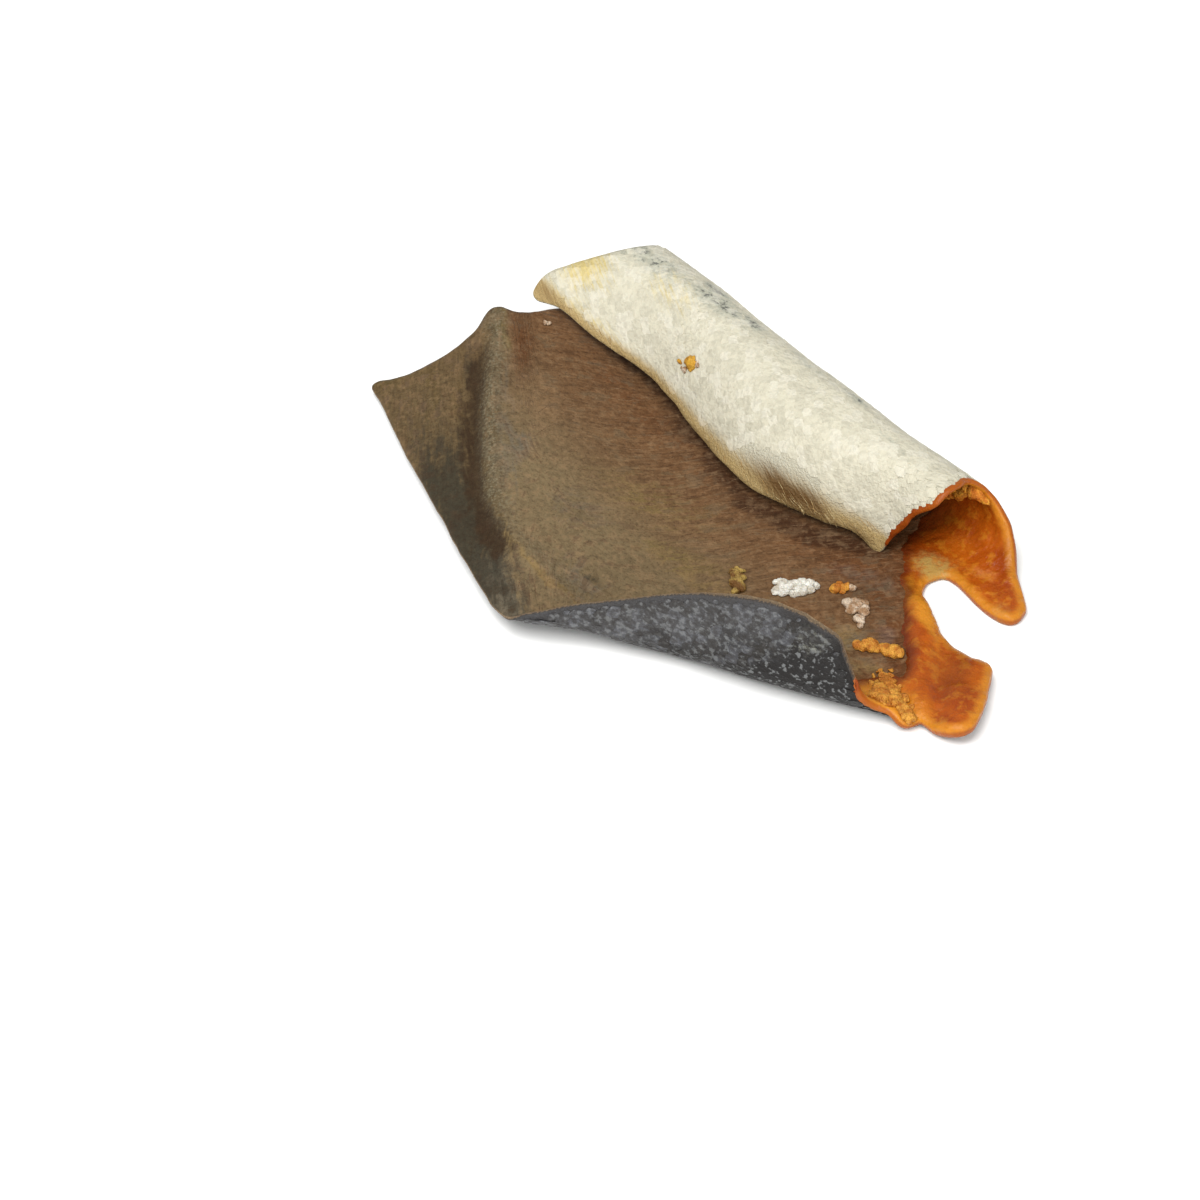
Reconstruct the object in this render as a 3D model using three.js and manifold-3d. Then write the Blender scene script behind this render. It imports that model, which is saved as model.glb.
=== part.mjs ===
// A piece of dried salmon skin with its scales on, in millimetres, +Z up.
//
// One cut piece of skin lies with its fleshy inner side up. Its far side is rolled over into a long
// hollow roll, its near side stands up as a curled wall, and one corner bends down behind a crease.
// The end that shows the dried flesh is ragged: two tongues with a round notch between them.
//
// The piece is laid out flat first and then bent. A flat point is (x, s): x runs along the roll and
// s runs across, 0 under the foot of the roll, positive into the roll and negative to the near side.

import * as THREE from "three";
import { mergeVertices } from "three/addons/utils/BufferGeometryUtils.js";
import Module from "manifold-3d";

// ---- driving dimensions -------------------------------------------------------------------------

const SKIN_THICKNESS = 1.3;
const FLESH_THICKNESS = 1.9; // the tongues, where dried flesh thickens the skin
const FLESH_START = 2; // x where the flesh begins to thicken
const FLESH_BLEND = 14;

// The roll's section, each as [x, size]: a half ellipse on the far side, then a fall to the free edge.
const ROLL_FOOT_Y = [[-95, 2.8], [-60, 1.4], [-30, 0.5], [30, 0.1]];
const ROLL_HALF_WIDTH = [[-95, 8.2], [-60, 8.0], [-30, 7.8], [0, 8.0], [30, 8.2]];
const ROLL_HEIGHT = [[-95, 15.2], [-80, 15.4], [-50, 15.7], [0, 15.3], [30, 15.2]];
const FREE_EDGE_Y = [
  [-95, -13.6], [-81, -12.2], [-64, -9.6], [-46, -13], [-32, -14.9], [-20, -12.8], [-5, -7.2],
];
const FREE_EDGE_Z = [[-95, 9.4], [-81, 6.1], [-62, 3.2], [-40, 2.5], [0, 2.5]];
const ROLL_BULGE = [[-95, 1.7], [-60, 2.0], [-35, 2.7], [0, 2.6]]; // 1 falls straight, 3 falls late and steep
const ROLL_STEPS = 40; // points on each half of the section
const CARRY_FADE = 7.6; // height on the roll over which the lift of the pan under it dies away

// The crease that cuts off the left corner, and how the skin stands up to it.
const CREASE_BACK = new THREE.Vector2(-94, -22);
const CREASE_FRONT = new THREE.Vector2(-27.5, -67.5);
const CREASE_HEIGHT_BACK = 8;
const CREASE_HEIGHT_FRONT = 4;
const CREASE_REACH = 30; // how far the slope runs into the pan
const CREASE_SOFTNESS = 3;
const CREASE_RUN_OUT = 0.35; // share of the crease's length in which it dies away past its front end
const CORNER_FALL = 0.3; // slope of the corner beyond the crease

// The near wall, folded up along a line from the front of the crease to the tongues.
const FOLD_ORIGIN = new THREE.Vector2(-27.5, -67.5);
const FOLD_DIRECTION = new THREE.Vector2(0.853, 0.521).normalize();
const FOLD_RADIUS = [[0, 1.2], [20, 4.5], [38, 7], [62, 6]]; // along the fold
const FOLD_INSET = [[0, -1.6], [14, 1.0], [28, 1.6], [44, 0], [64, -0.6]]; // how far in the bend begins
const FOLD_START_SHARE = 0.75; // of the radius, from the start of the bend to the fold line
const WALL_ANGLE = THREE.MathUtils.degToRad(88);
const WALL_FADE_FROM = 60;
const WALL_FADE_TO = 69;

// The lower tongue: a low ridge along its left side and a tip that lifts.
const RIDGE_FROM = new THREE.Vector2(6, -9);
const RIDGE_TO = new THREE.Vector2(32, -30.5);
const RIDGE_HEIGHT = 1.3;
const RIDGE_HALF_WIDTH = 1.8;
const RIDGE_RUN_IN = 0.2;
const TIP_LIFT = 2.2;
const TIP_LIFT_FROM = 20;
const TIP_LIFT_RUN = 18;
const TIP_LIFT_EDGE = 8;

// Flat outline, corner by corner, as [x, s]. The free edge follows the roll's section.
const LEFT_CUT = [
  [-96.6, -50], [-93.4, -45.5], [-90.8, -38], [-91.2, -31], [-92.8, -25.7], [-89.4, -21], [-88.5, -8],
  [-85, 8], [-83.2, 22], [-86, 28.5], [-90.3, 35], [-92.4, 38.6], [-92.9, 41.5], [-92, 44],
];
const FREE_EDGE_FROM = -87;
const FREE_EDGE_TO = -10;
const FREE_EDGE_POINTS = 12;
const ROLL_END = [
  [-5.2, 42.6], [-3.2, 38.6], [-1, 34.6], [2, 30.4], [3.4, 26], [3.2, 20], [4.6, 16], [8, 12.4],
];
const UPPER_TONGUE = [
  [11, 8.6], [14.6, 5.2], [18.6, 2.8], [21.6, 0.2], [22.2, -2.6], [20, -3.8], [14.5, -3.9], [8.8, -3],
];
const NOTCH = [[6.2, -3.8], [5.6, -6.6], [7, -9.4], [10.4, -11.6], [14.6, -13.4], [20, -15]];
const LOWER_TONGUE = [
  [25.8, -14.8], [29.8, -14.6], [32.2, -16.8], [36, -21.4], [39.2, -26.6], [38.8, -29.4],
  [35.4, -30.8], [31.6, -31.2], [30.4, -34.4], [28.4, -35.2],
];
const WALL_END = [[26.8, -38], [26.6, -42], [27.8, -48], [28.2, -52], [25.6, -56.8]];
const NEAR_EDGE = [
  [20.6, -60.8], [14, -62.8], [6, -64], [-2, -65], [-12, -66.2], [-20, -67.8], [-26, -69.4],
  [-31, -69.4], [-36, -68.2], [-46.8, -65.2], [-61, -61], [-77.6, -56.2], [-91, -51.8],
];
const OUTLINE_SAMPLES = 900;

// Mesh pitch on the flat piece, as [position, pitch].
const COLUMN_PITCH = [[-98, 3.6], [-20, 3.2], [2, 2.1], [40, 2.1]];
const ROW_PITCH = [[-71, 2.1], [-48, 2.3], [-36, 2.4], [0, 2.2], [50, 2.2]];
const FLAT_MIN = new THREE.Vector2(-98, -71);
const FLAT_MAX = new THREE.Vector2(41, 49);

// Flecks of fat and dried flesh, and crumbs at the ragged end. `at` is [x, s], `size` is length,
// width and height, `turn` is degrees on the skin, `side` is 1 for the inner face, -1 for the scales.
const LUMPS = [
  { at: [-8.2, -25.2], size: [6.2, 4.4, 2.0], turn: 10, side: 1 },
  { at: [-4.2, -23.8], size: [5.2, 3.8, 2.2], turn: -25, side: 1 },
  { at: [4.3, -20.8], size: [4.4, 3.6, 2.0], turn: 40, side: 1 },
  { at: [-14.2, -31.5], size: [4.6, 3.0, 1.7], turn: 60, side: 1 },
  { at: [-2.3, -19.6], size: [4.2, 3.0, 1.8], turn: -15, side: 1 },
  { at: [14.5, -24.8], size: [6.4, 3.0, 2.2], turn: 30, side: 1 },
  { at: [-56.4, 35.4], size: [4.8, 3.0, 1.5], turn: 20, side: -1 },
  { at: [24.4, -32], size: [5.0, 4.2, 3.0], turn: 20, side: 1 },
  { at: [28, -31.2], size: [4.6, 4.0, 2.8], turn: -30, side: 1 },
  { at: [28.8, -34.4], size: [4.0, 3.4, 2.6], turn: 50, side: 1 },
];
const LUMP_DETAIL = 2; // subdivisions of the icosahedron a lump starts from
const LUMP_ROUGHNESS = 0.1; // share of the radius
const LUMP_RISE = 0.1; // height of its middle over the face, as a share of its own height

const SKIN_COLOUR = 0x7d6248;
const SKIN_ROUGHNESS = 0.6;

// ---- small helpers ------------------------------------------------------------------------------

// Smooth curve through [position, value] stations, held level outside them.
function through(stations, at) {
  const last = stations.length - 1;
  if (at <= stations[0][0]) return stations[0][1];
  if (at >= stations[last][0]) return stations[last][1];
  let i = 0;
  while (at > stations[i + 1][0]) i += 1;
  const slope = (a, b) => (stations[b][1] - stations[a][1]) / (stations[b][0] - stations[a][0]);
  const width = stations[i + 1][0] - stations[i][0];
  const t = (at - stations[i][0]) / width;
  const startSlope = slope(Math.max(i - 1, 0), i + 1) * width;
  const endSlope = slope(i, Math.min(i + 2, last)) * width;
  const t2 = t * t;
  const t3 = t2 * t;
  return (
    (2 * t3 - 3 * t2 + 1) * stations[i][1] +
    (t3 - 2 * t2 + t) * startSlope +
    (3 * t2 - 2 * t3) * stations[i + 1][1] +
    (t3 - t2) * endSlope
  );
}

const ease = (t) => THREE.MathUtils.smoothstep(t, 0, 1);

// A point's place along and beside the line from one plan point to another.
function beside(from, to, x, y) {
  const length = from.distanceTo(to);
  const along = to.clone().sub(from).divideScalar(length);
  return {
    share: ((x - from.x) * along.x + (y - from.y) * along.y) / length,
    distance: (y - from.y) * along.x - (x - from.x) * along.y,
  };
}

// Repeatable draw between -1 and 1.
function drawer(seed) {
  let state = seed;
  return () => {
    state = (state * 1664525 + 1013904223) % 4294967296;
    return (state / 4294967296) * 2 - 1;
  };
}

// ---- the bent shape -----------------------------------------------------------------------------

// Section of the roll at x as points [y, z, length so far], from the foot to the free edge.
function rollSection(x) {
  const foot = through(ROLL_FOOT_Y, x);
  const half = through(ROLL_HALF_WIDTH, x);
  const height = through(ROLL_HEIGHT, x);
  const freeY = through(FREE_EDGE_Y, x);
  const freeZ = through(FREE_EDGE_Z, x);
  const bulge = through(ROLL_BULGE, x);
  const points = [];
  const add = (y, z) => {
    const before = points[points.length - 1];
    const length = before ? before[2] + Math.hypot(y - before[0], z - before[1]) : 0;
    points.push([y, z, length]);
  };
  for (let i = 0; i <= ROLL_STEPS; i += 1) {
    const angle = Math.PI * (i / ROLL_STEPS - 0.5);
    add(foot + half * Math.cos(angle), (height / 2) * (1 + Math.sin(angle)));
  }
  for (let i = 1; i <= ROLL_STEPS; i += 1) {
    const share = i / ROLL_STEPS;
    add(foot + (freeY - foot) * share, freeZ + (height - freeZ) * (1 - share ** bulge));
  }
  return points;
}

function rollLength(x) {
  const section = rollSection(x);
  return section[section.length - 1][2];
}

// Place on the roll's section, a given length from its foot.
function onSection(section, length) {
  let i = 1;
  while (i < section.length - 1 && section[i][2] < length) i += 1;
  const [y0, z0, l0] = section[i - 1];
  const [y1, z1, l1] = section[i];
  const share = (length - l0) / (l1 - l0);
  return [y0 + (y1 - y0) * share, z0 + (z1 - z0) * share];
}

// Height of the pan over its flat middle: the slopes of the crease and the relief of the lower tongue.
function panHeight(x, y) {
  const crease = beside(CREASE_BACK, CREASE_FRONT, x, y);
  const share = THREE.MathUtils.clamp(crease.share, 0, 1);
  const runOut = 1 - ease((crease.share - 1) / CREASE_RUN_OUT);
  const top = THREE.MathUtils.lerp(CREASE_HEIGHT_BACK, CREASE_HEIGHT_FRONT, share) * runOut;
  const inner = top * (1 - ease(crease.distance / CREASE_REACH));
  const corner = top + CORNER_FALL * crease.distance;
  const side = ease((crease.distance + CREASE_SOFTNESS) / (2 * CREASE_SOFTNESS));
  const slopes = Math.max(corner * (1 - side) + inner * side, 0);

  const ridge = beside(RIDGE_FROM, RIDGE_TO, x, y);
  const ends = ease(ridge.share / RIDGE_RUN_IN) * ease((1 + RIDGE_RUN_IN / 2 - ridge.share) / RIDGE_RUN_IN);
  const crest = RIDGE_HEIGHT * Math.exp(-((ridge.distance / RIDGE_HALF_WIDTH) ** 2)) * ends;
  const tip = ease((x - TIP_LIFT_FROM) / TIP_LIFT_RUN) * ease((ridge.distance + 1) / TIP_LIFT_EDGE);
  return slopes + crest + TIP_LIFT * tip;
}

// The flat point (x, s) on the middle of the bent skin, where the flat middle of the pan is z = 0.
function bend(x, s) {
  const foot = through(ROLL_FOOT_Y, x);
  if (s > 0) {
    const [y, z] = onSection(rollSection(x), s);
    const carried = panHeight(x, foot) * (1 - ease(z / CARRY_FADE));
    return new THREE.Vector3(x, y, z + carried);
  }
  const y = foot + s;
  const height = panHeight(x, y);
  const dx = x - FOLD_ORIGIN.x;
  const dy = y - FOLD_ORIGIN.y;
  const along = dx * FOLD_DIRECTION.x + dy * FOLD_DIRECTION.y;
  const out = dx * FOLD_DIRECTION.y - dy * FOLD_DIRECTION.x;
  const radius = through(FOLD_RADIUS, along);
  const start = radius * FOLD_START_SHARE + through(FOLD_INSET, along);
  const past = out + start;
  if (past <= 0) return new THREE.Vector3(x, y, height);
  const fade = ease((along - WALL_FADE_FROM) / (WALL_FADE_TO - WALL_FADE_FROM));
  const angle = Math.max(WALL_ANGLE * (1 - fade), 1e-3);
  const turned = Math.min(past, radius * angle);
  const straight = past - turned;
  const reach = radius * Math.sin(turned / radius) + straight * Math.cos(angle) - start;
  const rise = radius * (1 - Math.cos(turned / radius)) + straight * Math.sin(angle);
  return new THREE.Vector3(
    FOLD_ORIGIN.x + FOLD_DIRECTION.x * along + FOLD_DIRECTION.y * reach,
    FOLD_ORIGIN.y + FOLD_DIRECTION.y * along - FOLD_DIRECTION.x * reach,
    height + rise,
  );
}

// Outward direction of the inner, fleshy face at a flat point.
function innerNormal(x, s) {
  const step = 0.1;
  const alongX = bend(x + step, s).sub(bend(x - step, s));
  const across = bend(x, s + step).sub(bend(x, s - step));
  return alongX.cross(across).normalize();
}

// Points of both faces at a flat point. The scaled face stays half a skin under the middle, so
// that the pan rests flat at z = 0, and extra flesh lies on the inner face.
function bothFaces(x, s) {
  const middle = bend(x, s).add(new THREE.Vector3(0, 0, SKIN_THICKNESS / 2));
  const normal = innerNormal(x, s);
  const flesh = (FLESH_THICKNESS - SKIN_THICKNESS) * ease((x - FLESH_START) / FLESH_BLEND);
  return {
    inner: middle.clone().addScaledVector(normal, SKIN_THICKNESS / 2 + flesh),
    outer: middle.clone().addScaledVector(normal, -SKIN_THICKNESS / 2),
  };
}

// ---- the flat outline ---------------------------------------------------------------------------

function flatOutline() {
  const corners = [...LEFT_CUT];
  for (let i = 0; i < FREE_EDGE_POINTS; i += 1) {
    const x = THREE.MathUtils.lerp(FREE_EDGE_FROM, FREE_EDGE_TO, i / (FREE_EDGE_POINTS - 1));
    corners.push([x, rollLength(x)]);
  }
  corners.push(...ROLL_END, ...UPPER_TONGUE, ...NOTCH, ...LOWER_TONGUE, ...WALL_END, ...NEAR_EDGE);
  const points = corners.map(([x, s]) => new THREE.Vector3(x, s, 0));
  const curve = new THREE.CatmullRomCurve3(points, true, "centripetal");
  return curve.getSpacedPoints(OUTLINE_SAMPLES).slice(0, -1);
}

function isInside(outline, x, s) {
  let inside = false;
  outline.forEach((a, i) => {
    const b = outline[(i + 1) % outline.length];
    const crosses = a.y > s !== b.y > s;
    if (crosses && x < a.x + ((b.x - a.x) * (s - a.y)) / (b.y - a.y)) inside = !inside;
  });
  return inside;
}

function nearestOnOutline(outline, x, s) {
  const point = new THREE.Vector3(x, s, 0);
  const edge = new THREE.Line3();
  const foot = new THREE.Vector3();
  const best = { distance: Infinity, at: null };
  outline.forEach((a, i) => {
    edge.set(a, outline[(i + 1) % outline.length]);
    edge.closestPointToPoint(point, true, foot);
    const distance = foot.distanceTo(point);
    if (distance < best.distance) {
      best.distance = distance;
      best.at = [foot.x, foot.y];
    }
  });
  return best.at;
}

// Grid positions between two ends at a pitch that varies.
function gridLines(from, to, pitch) {
  const lines = [from];
  while (lines[lines.length - 1] < to) {
    const last = lines[lines.length - 1];
    lines.push(last + through(pitch, last));
  }
  return lines;
}

// The flat piece as corners [x, s] and triangles: grid cells whose middle is inside the outline,
// with the corners on the rim of those cells drawn onto the outline.
function flatMesh() {
  const outline = flatOutline();
  const columns = gridLines(FLAT_MIN.x, FLAT_MAX.x, COLUMN_PITCH);
  const rows = gridLines(FLAT_MIN.y, FLAT_MAX.y, ROW_PITCH);
  const kept = rows.slice(1).map((s1, r) =>
    columns.slice(1).map((x1, c) => isInside(outline, (x1 + columns[c]) / 2, (s1 + rows[r]) / 2)),
  );
  const has = (r, c) => Boolean(kept[r] && kept[r][c]);

  const corners = [];
  const names = new Map();
  const corner = (r, c) => {
    const name = r * columns.length + c;
    if (!names.has(name)) {
      const around = [has(r, c), has(r - 1, c), has(r, c - 1), has(r - 1, c - 1)];
      const onRim = !around.every(Boolean);
      const at = onRim ? nearestOnOutline(outline, columns[c], rows[r]) : [columns[c], rows[r]];
      names.set(name, corners.push(at) - 1);
    }
    return names.get(name);
  };

  const area = (a, b, c) =>
    (corners[b][0] - corners[a][0]) * (corners[c][1] - corners[a][1]) -
    (corners[c][0] - corners[a][0]) * (corners[b][1] - corners[a][1]);
  const triangles = [];
  kept.forEach((cells, r) =>
    cells.forEach((isKept, c) => {
      if (!isKept) return;
      const q = [corner(r, c), corner(r, c + 1), corner(r + 1, c + 1), corner(r + 1, c)];
      const rising = Math.min(area(q[0], q[1], q[2]), area(q[0], q[2], q[3]));
      const falling = Math.min(area(q[0], q[1], q[3]), area(q[1], q[2], q[3]));
      if (rising >= falling) triangles.push([q[0], q[1], q[2]], [q[0], q[2], q[3]]);
      else triangles.push([q[0], q[1], q[3]], [q[1], q[2], q[3]]);
    }),
  );
  return { corners, triangles };
}

// ---- solids -------------------------------------------------------------------------------------

const wasm = await Module();
wasm.setup();

function toSolid(geometry) {
  const bare = new THREE.BufferGeometry();
  bare.setAttribute("position", geometry.getAttribute("position").clone());
  if (geometry.index) bare.setIndex(geometry.index.clone());
  const merged = mergeVertices(bare, 1e-4);
  return new wasm.Manifold(
    new wasm.Mesh({
      numProp: 3,
      vertProperties: new Float32Array(merged.attributes.position.array),
      triVerts: new Uint32Array(merged.index.array),
    }),
  );
}

function toGeometry(solid) {
  const mesh = solid.getMesh();
  const geometry = new THREE.BufferGeometry();
  geometry.setAttribute("position", new THREE.BufferAttribute(new Float32Array(mesh.vertProperties), 3));
  geometry.setIndex(new THREE.BufferAttribute(new Uint32Array(mesh.triVerts), 1));
  geometry.computeVertexNormals();
  return geometry;
}

// The bent skin: both faces of the flat mesh and a wall round its rim.
function skinGeometry() {
  const { corners, triangles } = flatMesh();
  const faces = corners.map(([x, s]) => bothFaces(x, s));
  const positions = [...faces.map((f) => f.inner), ...faces.map((f) => f.outer)];
  const under = corners.length;
  const index = [];
  const rim = new Map();
  triangles.forEach(([a, b, c]) => {
    index.push(a, b, c, a + under, c + under, b + under);
    [[a, b], [b, c], [c, a]].forEach(([from, to]) => {
      if (!rim.delete(`${to},${from}`)) rim.set(`${from},${to}`, [from, to]);
    });
  });
  rim.forEach(([from, to]) => {
    index.push(from, from + under, to + under, from, to + under, to);
  });
  const geometry = new THREE.BufferGeometry().setFromPoints(positions);
  geometry.setIndex(index);
  return geometry;
}

// One irregular lump lying on a face of the skin.
function lumpGeometry({ at: [x, s], size, turn, side }, seed) {
  const draw = drawer(seed);
  const ball = new THREE.IcosahedronGeometry(0.5, LUMP_DETAIL);
  const geometry = mergeVertices(ball.deleteAttribute("normal").deleteAttribute("uv"));
  const position = geometry.getAttribute("position");
  const point = new THREE.Vector3();
  for (let i = 0; i < position.count; i += 1) {
    point.fromBufferAttribute(position, i).multiplyScalar(1 + LUMP_ROUGHNESS * draw());
    position.setXYZ(i, point.x * size[0], point.y * size[1], point.z * size[2]);
  }
  const faces = bothFaces(x, s);
  const normal = innerNormal(x, s).multiplyScalar(side);
  const along = new THREE.Vector3(1, 0, 0).addScaledVector(normal, -normal.x).normalize();
  along.applyAxisAngle(normal, THREE.MathUtils.degToRad(turn));
  const across = normal.clone().cross(along);
  const place = side > 0 ? faces.inner : faces.outer;
  place.addScaledVector(normal, size[2] * LUMP_RISE);
  geometry.applyMatrix4(new THREE.Matrix4().makeBasis(along, across, normal).setPosition(place));
  return geometry;
}

function salmonSkin() {
  const lumps = LUMPS.map((lump, i) => toSolid(lumpGeometry(lump, i + 1)));
  const whole = lumps.reduce((solid, lump) => solid.add(lump), toSolid(skinGeometry()));
  const geometry = toGeometry(whole);
  geometry.computeBoundingBox();
  const centre = geometry.boundingBox.getCenter(new THREE.Vector3());
  geometry.translate(-centre.x, -centre.y, -geometry.boundingBox.min.z);
  const material = new THREE.MeshStandardMaterial({
    color: SKIN_COLOUR,
    roughness: SKIN_ROUGHNESS,
    metalness: 0,
  });
  const mesh = new THREE.Mesh(geometry, material);
  mesh.name = "salmon_skin";
  return mesh;
}

const part = new THREE.Group();
part.name = "dried_salmon_skin";
part.add(salmonSkin());

export default part;
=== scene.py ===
"""Looks of a cut piece of dried salmon skin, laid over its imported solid.

The piece is laid out flat first and then bent. A flat point is (x, s), in millimetres: x runs along
the roll and s across it, 0 at the roll's foot, positive round the roll and negative on the pan and
the near wall. bend() carries flat points to their place, and every piece is made on top of it.
"""

import math
from collections import namedtuple
from functools import reduce
from itertools import starmap

import bpy
import numpy as np
from mathutils import Matrix, Vector
from mathutils.kdtree import KDTree


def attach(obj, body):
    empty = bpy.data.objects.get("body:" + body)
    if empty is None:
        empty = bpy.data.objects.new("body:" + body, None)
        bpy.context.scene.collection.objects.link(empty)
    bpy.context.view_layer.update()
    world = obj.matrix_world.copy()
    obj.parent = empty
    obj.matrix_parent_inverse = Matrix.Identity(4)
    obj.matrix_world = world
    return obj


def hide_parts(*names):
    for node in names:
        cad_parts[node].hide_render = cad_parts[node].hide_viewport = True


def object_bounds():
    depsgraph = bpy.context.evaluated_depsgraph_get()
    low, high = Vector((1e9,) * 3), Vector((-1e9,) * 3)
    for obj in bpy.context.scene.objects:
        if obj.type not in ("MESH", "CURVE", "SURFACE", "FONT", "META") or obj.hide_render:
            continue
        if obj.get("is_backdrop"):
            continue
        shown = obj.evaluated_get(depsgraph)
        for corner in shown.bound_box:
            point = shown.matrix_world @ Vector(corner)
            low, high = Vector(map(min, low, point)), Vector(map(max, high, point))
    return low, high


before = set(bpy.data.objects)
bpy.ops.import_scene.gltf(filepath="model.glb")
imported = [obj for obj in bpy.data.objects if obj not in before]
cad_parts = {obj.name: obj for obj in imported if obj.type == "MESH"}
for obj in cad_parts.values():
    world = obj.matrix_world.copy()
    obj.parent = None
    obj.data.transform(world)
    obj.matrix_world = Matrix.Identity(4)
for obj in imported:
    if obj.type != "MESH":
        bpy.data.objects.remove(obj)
CAD_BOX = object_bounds()

bl_info = {
    "name": "Dried salmon skin",
    "version": (1, 0, 0),
    "blender": (4, 5, 0),
    "location": "View3D > Sidebar > Salmon skin",
    "description": "Skin, scales, flesh, flecks and crumbs of a curled piece of dried salmon skin",
    "category": "Add Mesh",
}

NODE = "salmon_skin"
BODY = "root"
MM = 0.001

# Seeds of the noise fields, and of the random draws for the pieces.
EDGE_SEED, WANDER_SEED, BOW_SEED, BORDER_SEED = 11, 41, 7, 23
SWAY_SEED, RELIEF_SEED, FLESH_SEED = 3, 5, 61
SCALE_SEED, CRUMB_SEED, FIBRE_SEED = 29, 77, 13

# ---- the bent shape, in millimetres --------------------------------------------------------------

SHEET_CENTRE = np.array((-28.682, -28.990))  # middle of the bent piece in plan, from the roll's origin

THICKNESS = 1.3
HALF = THICKNESS / 2
FLESH_EXTRA = 0.6  # how much thicker the tongues are
FLESH_START = 2.0
FLESH_FRAY = 1.9  # how far its torn border strays
FLESH_BLEND = 14.0

# The roll's section as (x, size): a half ellipse on the far side, then a fall to the free edge.
ROLL_FOOT_Y = ((-95, 2.8), (-60, 1.4), (-30, 0.5), (30, 0.1))
ROLL_HALF_WIDTH = ((-95, 8.2), (-60, 8.0), (-30, 7.8), (0, 8.0), (30, 8.2))
ROLL_HEIGHT = ((-95, 15.2), (-80, 15.4), (-50, 15.7), (0, 15.3), (30, 15.2))
FREE_EDGE_Y = (
    (-95, -13.6), (-81, -12.2), (-64, -9.6), (-46, -13), (-32, -14.9), (-20, -12.8), (-5, -7.2),
)
FREE_EDGE_Z = ((-95, 9.4), (-81, 6.1), (-62, 3.2), (-40, 2.5), (0, 2.5))
ROLL_BULGE = ((-95, 1.7), (-60, 2.0), (-35, 2.7), (0, 2.6))
ROLL_STEPS = 40
CARRY_FADE = 7.6

CREASE_BACK = (-94.0, -22.0)
CREASE_FRONT = (-27.5, -67.5)
CREASE_HEIGHT = (8.0, 4.0)  # at its back and its front
CREASE_REACH = 30.0
CREASE_SOFTNESS = 3.0
CREASE_RUN_OUT = 0.35
CORNER_FALL = 0.3

FOLD_ORIGIN = np.array((-27.5, -67.5))
FOLD_DIRECTION = np.array((0.853, 0.521)) / math.hypot(0.853, 0.521)
FOLD_OUT = np.array((FOLD_DIRECTION[1], -FOLD_DIRECTION[0]))
FOLD_RADIUS = ((0, 1.2), (20, 4.5), (38, 7), (62, 6))
FOLD_INSET = ((0, -1.6), (14, 1.0), (28, 1.6), (44, 0), (64, -0.6))
FOLD_START_SHARE = 0.75
WALL_ANGLE = math.radians(88)
WALL_FADE_FROM = 60.0
WALL_FADE_RUN = 9.0

RIDGE_FROM = (6.0, -9.0)
RIDGE_TO = (32.0, -30.5)
RIDGE_HEIGHT = 1.3
RIDGE_HALF_WIDTH = 1.8
RIDGE_RUN_IN = 0.2
TIP_LIFT = 2.2
TIP_LIFT_FROM = 20.0
TIP_LIFT_RUN = 18.0
TIP_LIFT_EDGE = 8.0

# Flat outline, corner by corner. The free edge of the roll follows its section.
LEFT_CUT = (
    (-96.6, -50), (-93.4, -45.5), (-90.8, -38), (-91.2, -31), (-92.8, -25.7), (-89.4, -21),
    (-88.5, -8), (-85, 8), (-83.2, 22), (-86, 28.5), (-90.3, 35), (-92.4, 38.6), (-92.9, 41.5),
    (-92, 44),
)
FREE_EDGE_SPAN = (-87, -10)
FREE_EDGE_POINTS = 12
ROLL_END = (
    (-5.2, 42.6), (-3.2, 38.6), (-1, 34.6), (2, 30.4), (3.4, 26), (3.2, 20), (4.6, 16), (8, 12.4),
)
UPPER_TONGUE = (
    (11, 8.6), (14.6, 5.2), (18.6, 2.8), (21.6, 0.2), (22.2, -2.6), (20, -3.8), (14.5, -3.9), (8.8, -3),
)
NOTCH = ((6.2, -3.8), (5.6, -6.6), (7, -9.4), (10.4, -11.6), (14.6, -13.4), (20, -15))
LOWER_TONGUE = (
    (25.8, -14.8), (29.8, -14.6), (32.2, -16.8), (36, -21.4), (39.2, -26.6), (38.8, -29.4),
    (35.4, -30.8), (31.6, -31.2), (30.4, -34.4), (28.4, -35.2),
)
WALL_END = ((26.8, -38), (26.6, -42), (27.8, -48), (28.2, -52), (25.6, -56.8))
NEAR_EDGE = (
    (20.6, -60.8), (14, -62.8), (6, -64), (-2, -65), (-12, -66.2), (-20, -67.8), (-26, -69.4),
    (-31, -69.4), (-36, -68.2), (-46.8, -65.2), (-61, -61), (-77.6, -56.2), (-91, -51.8),
)
FLAT_LOW = np.array((-98.5, -71.5))
FLAT_HIGH = np.array((41.5, 49.5))

# Where the orange flesh begins on the inner face, as (s, x).
FLESH_LINE = (
    (-52, 40), (-46, 32), (-42, 25), (-38, 18.5), (-31, 18.5), (-28, 20.5), (-25.5, 20.8), (-23.4, 19.2),
    (-17.1, 11.4), (-11, 4.4), (-8, 0.6), (-5, -3.4), (0, -6), (8, -8), (20, -9), (30, -8), (36, -6.4),
    (40, -4), (42, 0), (44, 10),
)

# ---- helpers -------------------------------------------------------------------------------------


def ease(t):
    """Smooth step from 0 to 1."""
    t = np.clip(t, 0, 1)
    return t * t * (3 - 2 * t)


def onset(value, start, run):
    """0 up to start, 1 from run past it, smooth between."""
    return ease((value - start) / run)


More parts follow.
